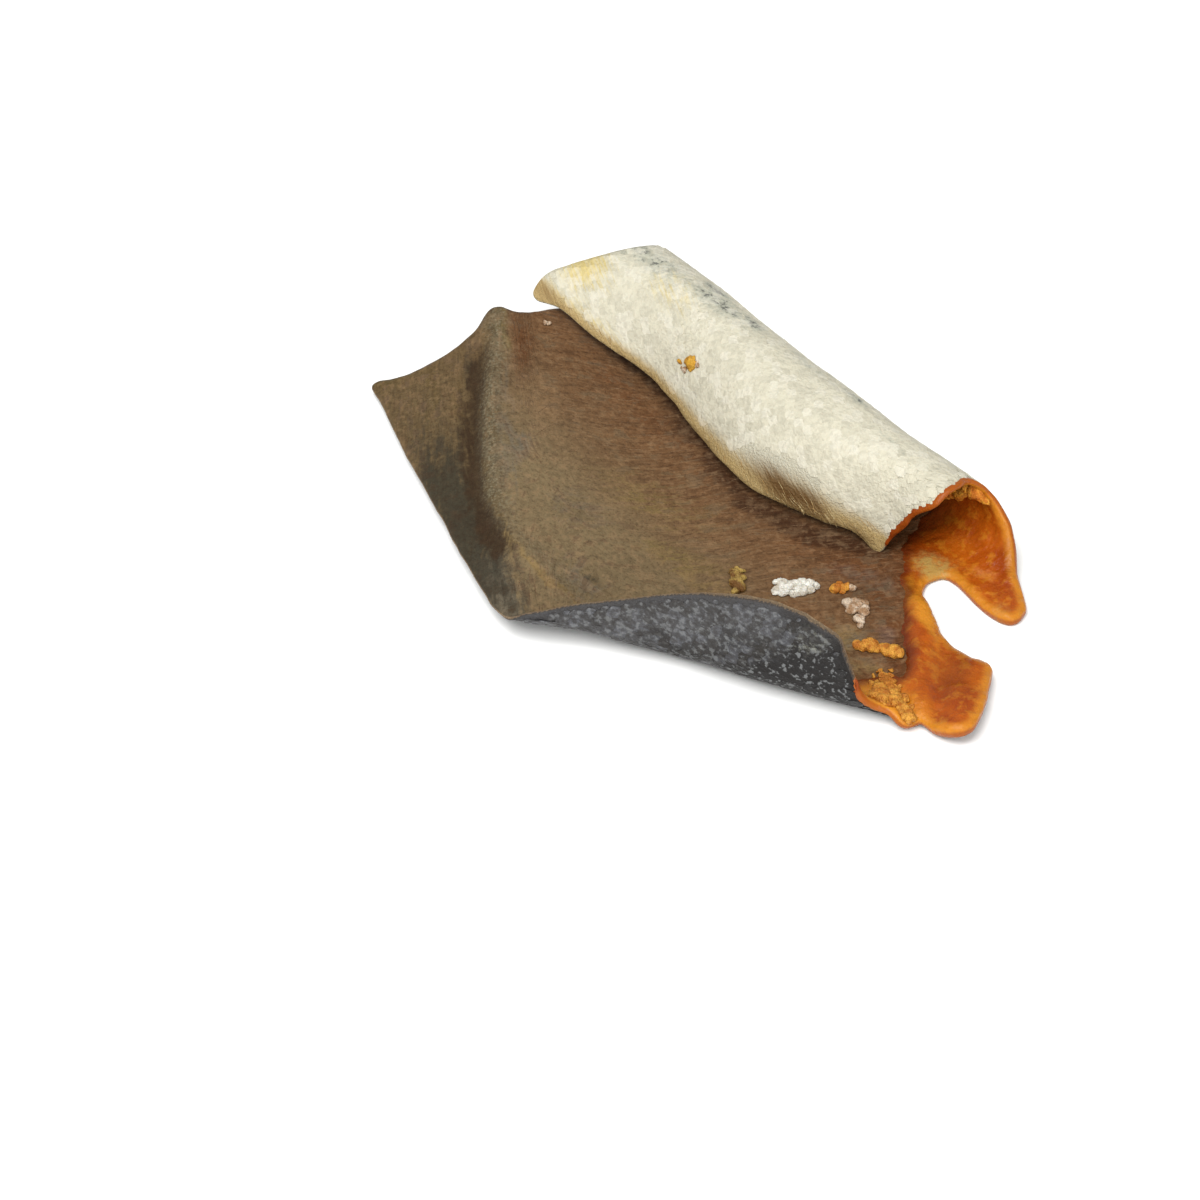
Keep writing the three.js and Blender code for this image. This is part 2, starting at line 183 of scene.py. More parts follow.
def through(stations, at):
    """Smooth curve through (position, value) stations, held level outside them."""
    place, value = np.array(stations, float).T
    at = np.clip(np.asarray(at, float), place[0], place[-1])
    slope = np.empty_like(value)
    slope[1:-1] = (value[2:] - value[:-2]) / (place[2:] - place[:-2])
    slope[0] = (value[1] - value[0]) / (place[1] - place[0])
    slope[-1] = (value[-1] - value[-2]) / (place[-1] - place[-2])
    i = np.clip(np.searchsorted(place, at, side="right") - 1, 0, len(place) - 2)
    width = place[i + 1] - place[i]
    t = (at - place[i]) / width
    return (
        (2 * t**3 - 3 * t**2 + 1) * value[i]
        + (t**3 - 2 * t**2 + t) * width * slope[i]
        + (3 * t**2 - 2 * t**3) * value[i + 1]
        + (t**3 - t**2) * width * slope[i + 1]
    )


def beside(start, end, x, y):
    """Share along a plan line and distance to its left."""
    dx, dy = end[0] - start[0], end[1] - start[1]
    length = math.hypot(dx, dy)
    along = ((x - start[0]) * dx + (y - start[1]) * dy) / length**2
    left = ((y - start[1]) * dx - (x - start[0]) * dy) / length
    return along, left


def near_path(path, x, s, reach):
    """1 on a path of flat corners, falling off beside it within about reach."""
    best = np.full(np.shape(x), np.inf)
    for a, b in zip(path, path[1:]):
        share, left = beside(a, b, x, s)
        past = np.maximum(-share, share - 1).clip(0) * math.dist(a, b)
        best = np.minimum(best, np.hypot(past, left))
    return np.exp(-((best / reach) ** 2))


class Grain:
    """Smooth repeatable noise between -1 and 1 over the flat piece."""

    CELLS = 256

    def __init__(self, seed):
        self.values = np.random.default_rng(seed).uniform(-1, 1, (self.CELLS, self.CELLS))

    def __call__(self, x, s, size):
        u, v = np.asarray(x, float) / size, np.asarray(s, float) / size
        i, j = np.floor(u).astype(int), np.floor(v).astype(int)
        fu, fv = ease(u - i), ease(v - j)
        value = lambda a, b: self.values[a % self.CELLS, b % self.CELLS]
        low = value(i, j) * (1 - fu) + value(i + 1, j) * fu
        high = value(i, j + 1) * (1 - fu) + value(i + 1, j + 1) * fu
        return low * (1 - fv) + high * fv

    def rough(self, x, s, size, octaves=3):
        """Sum of finer and finer noise."""
        layers = range(octaves)
        total = sum(self(x + 31 * k, s - 17 * k, size / 2**k) / 2**k for k in layers)
        return total / sum(1 / 2**k for k in layers)


# ---- bending -------------------------------------------------------------------------------------


def roll_section(x):
    """Section of the roll at each x: points (y, z) from foot to free edge, and the length to each."""
    x = np.atleast_1d(np.asarray(x, float))[:, None]
    foot, half, height = (through(row, x) for row in (ROLL_FOOT_Y, ROLL_HALF_WIDTH, ROLL_HEIGHT))
    free_y, free_z, bulge = (through(row, x) for row in (FREE_EDGE_Y, FREE_EDGE_Z, ROLL_BULGE))
    angle = np.linspace(-math.pi / 2, math.pi / 2, ROLL_STEPS + 1)[None]
    share = np.linspace(0, 1, ROLL_STEPS + 1)[None, 1:]
    y = np.hstack((foot + half * np.cos(angle), foot + (free_y - foot) * share))
    over = free_z + (height - free_z) * (1 - share**bulge)
    z = np.hstack((height / 2 * (1 + np.sin(angle)), over))
    steps = np.hypot(np.diff(y), np.diff(z))
    length = np.hstack((np.zeros_like(x), np.cumsum(steps, axis=1)))
    return y, z, length


def roll_length(x):
    return roll_section(x)[2][:, -1]


def on_section(x, s):
    """Place (y, z) on the roll's section, s from its foot, carried straight on past its free edge."""
    y, z, length = roll_section(x)
    i = np.clip((length < s[:, None]).sum(axis=1), 1, length.shape[1] - 1)
    row = np.arange(len(x))
    share = (s - length[row, i - 1]) / (length[row, i] - length[row, i - 1])
    place = lambda values: values[row, i - 1] + (values[row, i] - values[row, i - 1]) * share
    return place(y), place(z)


def pan_height(x, y):
    """Height of the pan over its flat middle: the crease's slopes and the lower tongue's relief."""
    share, distance = beside(CREASE_BACK, CREASE_FRONT, x, y)
    back, front = CREASE_HEIGHT
    top = back + (front - back) * np.clip(share, 0, 1)
    top = top * (1 - onset(share, 1, CREASE_RUN_OUT))
    inner = top * (1 - ease(distance / CREASE_REACH))
    corner = top + CORNER_FALL * distance
    side = onset(distance, -CREASE_SOFTNESS, 2 * CREASE_SOFTNESS)
    slopes = np.maximum(corner * (1 - side) + inner * side, 0)

    share, distance = beside(RIDGE_FROM, RIDGE_TO, x, y)
    ends = ease(share / RIDGE_RUN_IN) * ease((1 + RIDGE_RUN_IN / 2 - share) / RIDGE_RUN_IN)
    crest = RIDGE_HEIGHT * np.exp(-((distance / RIDGE_HALF_WIDTH) ** 2)) * ends
    tip = onset(x, TIP_LIFT_FROM, TIP_LIFT_RUN) * onset(distance, -1, TIP_LIFT_EDGE)
    return slopes + crest + TIP_LIFT * tip


def bend_wall(x, y, z):
    """Folds the points past the near fold up into the wall."""
    along = (x - FOLD_ORIGIN[0]) * FOLD_DIRECTION[0] + (y - FOLD_ORIGIN[1]) * FOLD_DIRECTION[1]
    out = (x - FOLD_ORIGIN[0]) * FOLD_OUT[0] + (y - FOLD_ORIGIN[1]) * FOLD_OUT[1]
    radius = through(FOLD_RADIUS, along)
    start = radius * FOLD_START_SHARE + through(FOLD_INSET, along)
    past = out + start
    fade = onset(along, WALL_FADE_FROM, WALL_FADE_RUN)
    angle = np.maximum(WALL_ANGLE * (1 - fade), 1e-3)
    turned = np.clip(past, 0, radius * angle)
    straight = past - turned
    reach = radius * np.sin(turned / radius) + straight * np.cos(angle) - start
    rise = radius * (1 - np.cos(turned / radius)) + straight * np.sin(angle)
    place = FOLD_ORIGIN + along[:, None] * FOLD_DIRECTION + reach[:, None] * FOLD_OUT
    bent = np.column_stack((place, z + rise))
    return np.where((past > 0)[:, None], bent, np.column_stack((x, y, z)))


def bend(x, s):
    """Middle of the bent skin at flat points, the pan's flat middle being z = 0."""
    x, s = np.asarray(x, float), np.asarray(s, float)
    foot = through(ROLL_FOOT_Y, x)
    height = pan_height(x, foot + np.minimum(s, 0))
    points = bend_wall(x, foot + s, height)
    rolled = s > 0
    y, z = on_section(x[rolled], s[rolled])
    lift = height[rolled] * (1 - ease(z / CARRY_FADE))
    points[rolled] = np.column_stack((x[rolled], y, z + lift))
    return points


def inner_normal(x, s, step=0.1):
    """Direction in which the fleshy face looks."""
    normal = np.cross(bend(x + step, s) - bend(x - step, s), bend(x, s + step) - bend(x, s - step))
    return normal / np.linalg.norm(normal, axis=1, keepdims=True)


Surface = namedtuple("Surface", "middle normal extra")


def surface(flat):
    """The bent middle at flat points, moved to the row's origin, with the flesh's extra thickness."""
    x, s = flat.T
    middle = bend(x, s)
    middle[:, :2] -= SHEET_CENTRE
    middle[:, 2] += HALF
    extra = FLESH_EXTRA * onset(x, FLESH_START, FLESH_BLEND)
    return Surface(middle, inner_normal(x, s), extra)


def level(at, height):
    """Points at a height in millimetres over the middle of the skin, towards the fleshy side."""
    return at.middle + at.normal * np.broadcast_to(height, len(at.middle))[:, None]


# ---- the flat outline and its mesh ---------------------------------------------------------------


OUTLINE_STEP = 0.5
OUTLINE_FRAY = 0.55  # swing of a frayed edge whose amount is 1
OUTLINE_GRAIN = 4.0


def flat_outline():
    """Closed outline of the flat piece, its edges frayed by part: cuts a little, torn flesh more."""
    span = np.linspace(*FREE_EDGE_SPAN, FREE_EDGE_POINTS)
    free = np.column_stack((span, roll_length(span)))
    parts = (
        (LEFT_CUT, 0.5), (free, 0.7), (ROLL_END, 1.6), (UPPER_TONGUE, 0.6), (NOTCH, 0.8),
        (LOWER_TONGUE, 0.7), (WALL_END, 1.3), (NEAR_EDGE, 0.35),
    )
    corners = np.vstack([np.array(part, float) for part, _ in parts])
    fray = np.concatenate([np.full(len(part), amount) for part, amount in parts])
    points, amounts = [], []
    count = len(corners)
    for i in range(count):
        p = corners[[i - 1, i, (i + 1) % count, (i + 2) % count]]
        t = np.concatenate(((0,), np.cumsum(np.linalg.norm(np.diff(p, axis=0), axis=1) ** 0.5)))
        steps = max(2, int(np.linalg.norm(p[2] - p[1]) / OUTLINE_STEP))
        u = np.linspace(t[1], t[2], steps, endpoint=False)[:, None]
        mix = lambda a, b, ta, tb: ((tb - u) * a + (u - ta) * b) / (tb - ta)
        first = [mix(p[k], p[k + 1], t[k], t[k + 1]) for k in range(3)]
        second = [mix(first[k], first[k + 1], t[k], t[k + 2]) for k in range(2)]
        points.append(mix(second[0], second[1], t[1], t[2]))
        amounts.append(np.linspace(fray[i], fray[(i + 1) % count], steps, endpoint=False))
    points, amounts = np.vstack(points), np.concatenate(amounts)
    ahead = np.roll(points, -1, axis=0) - np.roll(points, 1, axis=0)
    out = np.column_stack((ahead[:, 1], -ahead[:, 0])) / np.linalg.norm(ahead, axis=1)[:, None]
    noise = Grain(EDGE_SEED).rough(*points.T, OUTLINE_GRAIN)
    return points + out * (noise * amounts * OUTLINE_FRAY)[:, None]


def inside(outline, xs, ss):
    """Mask of grid places (row by s, column by x) inside the outline."""
    after = np.roll(outline, -1, axis=0)
    mask = np.zeros((len(ss), len(xs)), bool)
    for row, s in enumerate(ss):
        crosses = (outline[:, 1] > s) != (after[:, 1] > s)
        a, b = outline[crosses], after[crosses]
        at = a[:, 0] + (b[:, 0] - a[:, 0]) * (s - a[:, 1]) / (b[:, 1] - a[:, 1])
        mask[row] = np.searchsorted(np.sort(at), xs) % 2 == 1
    return mask


def nearest(outline, points):
    """Nearest place on the outline to each point, and its distance."""
    tree = KDTree(len(outline))
    for i, (x, s) in enumerate(outline):
        tree.insert((x, s, 0), i)
    tree.balance()
    found = [tree.find((x, s, 0)) for x, s in points]
    spots = outline[[i for _, i, _ in found]]
    return spots, np.array([distance for _, _, distance in found])


RIM_ROUNDS = 8
RIM_SMOOTHINGS = 3
FlatMesh = namedtuple("FlatMesh", "points triangles rim edge")


def flat_mesh(outline, step, region=None):
    """Triangles over the flat piece, or the part of it where region(x, s) is true.

    The grid's corners on the rim are drawn onto the outline. rim lists the border's edges in order
    of travel, and edge is each point's distance from the outline.
    """
    xs = np.arange(FLAT_LOW[0], FLAT_HIGH[0], step)
    ss = np.arange(FLAT_LOW[1], FLAT_HIGH[1], step)
    middle_x, middle_s = xs[:-1] + step / 2, ss[:-1] + step / 2
    kept = inside(outline, middle_x, middle_s)
    if region:
        kept &= region(*np.meshgrid(middle_x, middle_s))
    padded = np.pad(kept, 1).astype(int)
    around = padded[:-1, :-1] + padded[1:, :-1] + padded[:-1, 1:] + padded[1:, 1:]
    used = around > 0
    number = np.full(used.shape, -1)
    number[used] = np.arange(used.sum())
    grid_x, grid_s = np.meshgrid(xs, ss)
    points = np.column_stack((grid_x[used], grid_s[used]))
    spots, edge = nearest(outline, points)
    drawn = (around[used] < 4) & (edge < 2 * step)
    points[drawn], edge[drawn] = spots[drawn], 0

    r, c = np.nonzero(kept)
    quads = np.column_stack((number[r, c], number[r, c + 1], number[r + 1, c + 1], number[r + 1, c]))
    sides = np.vstack([quads[:, [k, (k + 1) % 4]] for k in range(4)])
    code = lambda pairs: pairs[:, 0] * len(points) + pairs[:, 1]
    rim = sides[~np.isin(code(sides), code(sides[:, ::-1]))]
    ends = np.bincount(rim.ravel(), minlength=len(points))
    moved = drawn & (ends > 0)
    # Spreads the rim's points evenly along the outline, then takes out its smallest zigzag.
    for k in range(RIM_ROUNDS + RIM_SMOOTHINGS):
        total = np.zeros_like(points)
        np.add.at(total, rim[:, 0], points[rim[:, 1]])
        np.add.at(total, rim[:, 1], points[rim[:, 0]])
        middle = (points[moved] + total[moved] / ends[moved, None]) / 2
        points[moved] = nearest(outline, middle)[0] if k < RIM_ROUNDS else middle
    corner = lambda k: points[quads[:, k]]
    cross = lambda a, b, d: np.cross(corner(b) - corner(a), corner(d) - corner(a))
    rising = np.minimum(cross(0, 1, 2), cross(0, 2, 3)) >= np.minimum(cross(0, 1, 3), cross(1, 2, 3))
    pick = lambda up, down: np.where(rising[:, None], quads[:, up], quads[:, down])
    triangles = np.vstack((pick([0, 1, 2], [0, 1, 3]), pick([0, 2, 3], [1, 2, 3])))
    return FlatMesh(points, triangles, rim, edge)


def closed_shell(flat, top, under, rows, bulge, swell=0.0):
    """Two faces over a flat mesh and a rim of rows between them that swells by bulge millimetres.

    swell moves the whole rim out, both faces' borders with it.

    Gives vertices, triangles, and for each vertex its flat point number and depth from 0 to 1.
    """
    count = len(flat.points)
    on_rim = np.unique(flat.rim)
    around = np.zeros((count, 3))
    side = top[flat.rim[:, 1]] - top[flat.rim[:, 0]]
    np.add.at(around, flat.rim[:, 0], side)
    np.add.at(around, flat.rim[:, 1], side)
    out = np.cross(around, top - under)[on_rim]
    out /= np.maximum(np.linalg.norm(out, axis=1, keepdims=True), 1e-9)
    top, under = top.copy(), under.copy()
    shift = out * np.broadcast_to(swell, len(flat.points))[on_rim][:, None]
    top[on_rim] += shift
    under[on_rim] += shift
    vertices, source, depth = [top, under], [np.arange(count)] * 2, [np.zeros(count), np.ones(count)]
    place = np.full(count, -1)
    place[on_rim] = np.arange(len(on_rim))
    for share in rows:
        between = top[on_rim] * (1 - share) + under[on_rim] * share
        vertices.append(between + out * bulge * math.sin(math.pi * share))
        source.append(on_rim)
        depth.append(np.full(len(on_rim), share))
    levels = [flat.rim]
    levels += [place[flat.rim] + 2 * count + k * len(on_rim) for k in range(len(rows))]
    levels += [flat.rim + count]
    faces = [flat.triangles, flat.triangles[:, ::-1] + count]
    for upper, lower in zip(levels, levels[1:]):
        faces.append(np.column_stack((upper[:, 0], lower[:, 0], lower[:, 1])))
        faces.append(np.column_stack((upper[:, 0], lower[:, 1], upper[:, 1])))
    return np.vstack(vertices), np.vstack(faces), np.concatenate(source), np.concatenate(depth)


# ---- making pieces -------------------------------------------------------------------------------

Piece = namedtuple("Piece", "vertices triangles material values")
NO_FACES = (np.zeros((0, 3), int), np.zeros(0))


def make_object(name, piece, materials, edges=()):
    """A smooth mesh object from a piece in millimetres. values holds one number or vector a vertex."""
    mesh = bpy.data.meshes.new(name)
    mesh.from_pydata((piece.vertices * MM).tolist(), edges, np.asarray(piece.triangles).tolist())
    mesh.polygons.foreach_set("material_index", np.asarray(piece.material, np.int32))
    mesh.polygons.foreach_set("use_smooth", np.ones(len(piece.triangles), bool))
    for label, value in piece.values.items():
        kind, field = ("FLOAT_VECTOR", "vector") if value.ndim == 2 else ("FLOAT", "value")
        layer = mesh.attributes.new(label, kind, "POINT")
        layer.data.foreach_set(field, value.astype(np.float32).ravel())
    for material in materials:
        mesh.materials.append(material)
    obj = bpy.data.objects.new(name, mesh)
    bpy.context.scene.collection.objects.link(obj)
    return obj


def settle(obj, slot):
    """Sets a finished piece on the body. slot is not used."""
    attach(obj, BODY)


# ---- where the tones lie, flat points in millimetres ---------------------------------------------

CREST = (
    (-94, -24), (-89, -29), (-83.5, -32.5), (-77.5, -37.5), (-69.5, -44), (-61, -49.5), (-52.5, -55),
    (-44, -58), (-35, -58.5), (-29.5, -59), (-24, -59.5),
)
# Path of the roll's painted shadow on the pan.
UNDER_ROLL = (  # along the pan under the roll's free edge
    (-95, -10), (-75.5, -10), (-64.5, -8), (-48.5, -12.5), (-31, -17), (-19.5, -15), (-12, -12),
    (-5, -6),
)
# The valley beside the crease: a real dip in the relief, its dark tone painted shade.
VALLEY = (
    (-86, -33), (-81, -37), (-75.5, -42), (-67, -48), (-58.5, -53.5), (-51.5, -57.5), (-42, -60.5),
)
# Stains by kind, the shade kind being painted shade and the deep kind partly painted shade: middle on
# the flat piece, half length, half width, turn in degrees and strength.
Stain = namedtuple("Stain", "x s long wide turn strength")
STAINS = {
    "red": (
        (-82, -27.8, 8, 1.9, -36, 1.1), (-88, -17, 7, 4, 10, 0.5), (-60, -16, 28, 4.5, 0, 0.6),
        (-25, -15, 22, 4, 4, 0.5), (-6, -13, 13, 7, 20, 1.0), (4, -15, 9, 3, -52, 1.0),
        (12, -20, 11, 2.4, -38, 0.9), (19, -25.5, 3.4, 2.4, 20, 1.1),
    ),
    "gold": (
        (9, -27.5, 4, 2.4, -40, 1.0), (17.5, -29, 3, 1.8, 20, 1.1), (-28, -58.8, 12, 0.6, -4, 1.6),
        (-46, -56.8, 9, 0.6, -24, 1.4), (-78, -43.5, 13, 0.9, -36, 0.8), (-70, -51, 9, 0.7, -34, 0.6),
        (-12, -35, 14, 3, 15, 0.5), (15, -34, 8, 4, -40, 0.9),
    ),
    # Painted shade: on the lower wing and its tip, beside the roll's end, in a pit and by the valley.
    "shade": (
        (0, -15, 11, 5, -34, 0.32), (-54, -60.5, 24, 5.6, -24, 1.3), (-38, -65, 12, 5, -20, 0.9),
        (-30, -66, 8, 3.4, -20, 0.6), (-26.8, -51.4, 1.4, 1.0, 60, 0.9), (-84, -38, 6, 1.4, -36, 0.5),
    ),
    # Darker orange: mostly painted shade in the roll's hollow, also the lower tongue's own darker
    # middle.
    "deep": (
        (-2.4, -4.6, 3.6, 2.4, 40, 0.8), (-5, 6, 4.5, 8, 0, 0.7), (27.5, -20, 8, 4.5, -42, 0.55),
        (33, -22, 4, 3, -42, 0.4), (-2, 33, 7, 12, 0, 0.75), (12, 8, 3, 9, 20, 0.3),
    ),
    "grey": (
        (-62, -44, 12, 2.0, -34, 0.8), (-74, -36.5, 6, 1.6, -36, 0.6), (-33, -66.5, 15, 3.4, -22, 1.2),
        (-27, -54, 6, 3.5, -20, 0.6), (-43, -44, 6, 5, 40, 0.4), (10, -27.5, 4, 2.4, -40, 0.6),
    ),
    "violet": (
        (-1, -14, 9, 3, 12, 0.6), (-87, -35, 4, 2, -36, 0.6), (12.4, -21.6, 2.6, 1.8, -30, 1.1),
    ),
    "olive": (
        (-96, -40, 5, 12, 0, 1.2), (-88, -28, 7, 2.0, -38, 0.9), (-84, -45, 12, 1.2, -34, 0.7),
        (-40, -31, 12, 6, 20, 0.4), (-24, -36, 9, 4, 10, 0.5),
    ),
    "pale": ((3.4, -3.6, 3.6, 3.2, 20, 1.0), (20, -2.6, 3.2, 1.6, -25, 0.4)),
    "honey": (
        (6.6, -11.4, 5.2, 1.3, -42, 1.2), (14, -15.2, 8, 1.2, -24, 1.1), (25, -33.5, 7, 5, 0, 1.3),
    ),
    "blush": ((10.5, 0.5, 3.6, 2.2, 30, 0.8), (32, -27.5, 3.0, 1.4, 50, 0.5)),
}
OUTER_STAINS = {
    "yellow": (
        (-88, 34, 7, 5, 0, 0.9), (-70, 27, 9, 4, 10, 0.5), (-84, 41, 12, 2.2, -4, 0.7),
    ),
    "dusk": (
        (-78, 24.5, 11, 3.4, 0, 0.8), (-84, 27, 6, 3.4, 10, 0.5), (-61, 23.5, 9, 2.6, 0, 0.9),
        (-64, 21, 4, 1.2, 0, 1.3), (-53, 22, 4, 1.2, 0, 1.2), (-38, 21.4, 9, 1.6, 0, 0.6),
        (-26, 20.6, 4, 1.4, 0, 1.0), (-12, 25, 8, 0.7, 12, 0.6), (24, -52, 6, 3.4, -30, 0.3),
    ),
    # The roll's brown hem: its own brown and painted shade where the roll turns under towards its free
    # edge.
    "brown": (
        (-22, 42.8, 11, 3.2, -3, 1.1), (-9, 41, 6, 1.4, 0, 0.7), (-90, 42, 5, 1.6, 0, 0.6),
        (-47, 45, 11, 2.4, 0, 0.45),
    ),
}
HEM_WIDTH = (
    (-95, 2.6), (-80, 2.2), (-62, 2.3), (-46, 3.4), (-36, 4.4), (-26, 5.6), (-16, 5.4), (-9, 3.8),
    (-4, 2.2),
)
# These reach over the valley's painted shade, the roll's painted shadow and the crest's painted
# highlight.
VALLEY_TONE = 2.3  # how far the tones reach beside their paths
ROLL_SHADOW_REACH = 3.2
CREST_HIGHLIGHT_REACH = 1.8
INNER_WANDER = 2.2  # how far the stains' outlines stray, on the fleshy face
OUTER_WANDER = 1.0
WANDER_SIZE = 6
CREST_RELIEF = 0.7
CREST_REACH = 1.9
VALLEY_RELIEF = -0.8
VALLEY_REACH = 2.4
FIBRE_RELIEF = 0.07
FIBRE_WIDTH = 1.3
FIBRE_STRETCH = 7  # length of the relief's fibres against their width
TORN_RELIEF = 0.45
PITS = (  # x, s, reach and depth
    (-26.8, -51.4, 1.1, 0.7), (-25.4, -54.2, 0.8, 0.4), (17.5, -29.5, 2.6, 0.8),
)


def spread(flat, stains, wander):
    """How much of each kind of stain lies at flat points, and the points with their wander."""
    x, s = flat.T
    warp = Grain(WANDER_SEED)
    wx = x + wander * warp.rough(x, s, WANDER_SIZE)
    ws = s + wander * warp.rough(x + 90, s, WANDER_SIZE)
    found = {}
    for kind, rows in stains.items():
        found[kind] = np.zeros(len(x))
        for stain in starmap(Stain, rows):
            turn = math.radians(stain.turn)
            dx, ds = wx - stain.x, ws - stain.s
            u = (dx * math.cos(turn) + ds * math.sin(turn)) / stain.long
            v = (ds * math.cos(turn) - dx * math.sin(turn)) / stain.wide
            found[kind] = np.maximum(found[kind], stain.strength * np.exp(-(u**2 + v**2)))
    return found, wx, ws


def outer_values(flat):
    """The stains of the scaled side, and the tan hem along the roll's free edge."""
    found, wx, _ = spread(flat, OUTER_STAINS, OUTER_WANDER)
    past = (roll_length(wx) - flat[:, 1]) / through(HEM_WIDTH, wx)
    found["tan"] = np.exp(-(np.maximum(past, 0) ** 2) * 1.3)
    return found


def stain_values(flat):
    """The stains of the fleshy side, its painted shade and highlight, and its other tones."""
    found, wx, ws = spread(flat, STAINS, INNER_WANDER)
    x, s = flat.T
    _, off = beside(CREASE_BACK, CREASE_FRONT, x, s)
    wing = onset(-off, 0.5, 2) * onset(-x, 28, 10)
    low = onset(x, -56, 10) * onset(-s, 50, 8)
    threaded = np.clip(onset(s, -44, 20) + 0.7 * onset(x, -22, 12) + 0.5 * low, 0.12, 1)
    found.update(
        warm=np.clip(onset(ws, -46, 26) + onset(wx, -14, 18), 0, 1),
        wing=wing,
        # painted shade in the valley beside the crease
        valley=near_path(VALLEY, x, s, VALLEY_TONE) * onset(x, -92, 12),
        # painted shadow of the roll on the pan under its free edge
        umber=near_path(UNDER_ROLL, wx, ws, ROLL_SHADOW_REACH),
        # pale crest: partly its own pale tone, partly painted highlight on the crease's lit side
        streak=near_path(CREST, x + 0.6, s - 1.6, CREST_HIGHLIGHT_REACH) * (1 - 0.6 * onset(x, -56, 12)),
        border=onset(flesh_share(flat), -5, 5),
        threaded=np.maximum(threaded, 0.7 * wing * onset(-x, 52, 14)),
    )
    return found


FIBRE_TURN = math.radians(62)  # of the fibres on the pan from the roll
LAY_TURN = (0.5, (5, 12))  # where the fibres turn off the crease, and over what distance
HEADING_TURN = (1.5, (9, 16))


def pan_turn(flat, start, run):
    """How far the fibres have turned off the crease, 0 beside it and 1 over the pan, and its distance.

    They start turning at start millimetres from it. run is over how many they turn, and how many
    more it takes low down.
    """
    x, s = flat.T
    _, off = beside(CREASE_BACK, CREASE_FRONT, x, s)
    low = onset(x, -62, 14) * onset(-s, 40, 8)
    return onset(off, start, run[0] + run[1] * low), off


def fibre_lay(flat):
    """Coordinates across and along the fibres of the fleshy face, in millimetres."""
    x, s = flat.T
    blend, off = pan_turn(flat, *LAY_TURN)
    bow = Grain(BOW_SEED)
    along_x = x * math.cos(FIBRE_TURN) + s * math.sin(FIBRE_TURN)
    across = s * math.cos(FIBRE_TURN) - x * math.sin(FIBRE_TURN)
    phi = (1 - blend) * -off + blend * (across * 0.9 - 20)
    phi = phi + 1.6 * bow.rough(x, s, 18) + 0.35 * bow.rough(x + 30, s, 3.4)
    run = (1 - blend) * (x * 0.82 - s * 0.57) + blend * along_x
    return np.column_stack((phi, run, np.zeros(len(x))))


def flesh_share(flat):
    """How far a flat point is past the line where the orange flesh begins, in millimetres."""
    x, s = flat.T
    return x - through(FLESH_LINE, s) + FLESH_FRAY * Grain(BORDER_SEED).rough(x, s, 3.2)


# ---- relief, in millimetres ----------------------------------------------------------------------


def sway(flat):
    """Soft unevenness of the whole sheet, both faces alike."""
    x, s = flat.T
    grain = Grain(SWAY_SEED)
    dents = 0.45 * grain.rough(x, s, 17, 2) * onset(s, 0, 10)
    wall = onset(-s, 48, 8) * 0.3 * grain.rough(x + 40, s, 12, 2)
    return dents + wall


def fleshy_relief(flat):
    """Relief of the fleshy face: crest and valley by the crease, fibres, torn part and pits."""
    x, s = flat.T
    across, along, _ = fibre_lay(flat).T
    grain = Grain(RELIEF_SEED)
    crest = CREST_RELIEF * near_path(CREST, x, s, CREST_REACH)
    valley = VALLEY_RELIEF * near_path(VALLEY, x, s, VALLEY_REACH)
    fibres = FIBRE_RELIEF * grain.rough(across, along / FIBRE_STRETCH, FIBRE_WIDTH, 2)
    lumps = 0.12 * grain.rough(x, s, 4.2, 2) + 0.05 * grain.rough(x - 50, s, 1.4, 2)
    at_corner = onset(x, 4, 12) * onset(-s, 14, 8)
    torn = at_corner * TORN_RELIEF * grain.rough(x + 60, s, 4.0, 3)
    height = crest + valley + fibres + lumps + torn
    for at_x, at_s, reach, depth in PITS:
        height -= depth * np.exp(-((np.hypot(x - at_x, s - at_s) / reach) ** 2))
    return height


# ---- materials -----------------------------------------------------------------------------------


def new_group(name, inputs, outputs, kind="ShaderNodeTree"):
    """An empty node group with its sockets: (name, type, default) in and (name, type) out."""
    group = bpy.data.node_groups.new(name, kind)
    for label, kind, default in inputs:
        socket = group.interface.new_socket(label, in_out="INPUT", socket_type=kind)
        if default is not None:
            socket.default_value = default
    for label, kind in outputs:
        group.interface.new_socket(label, in_out="OUTPUT", socket_type=kind)
    return group, group.nodes.new("NodeGroupInput"), group.nodes.new("NodeGroupOutput")


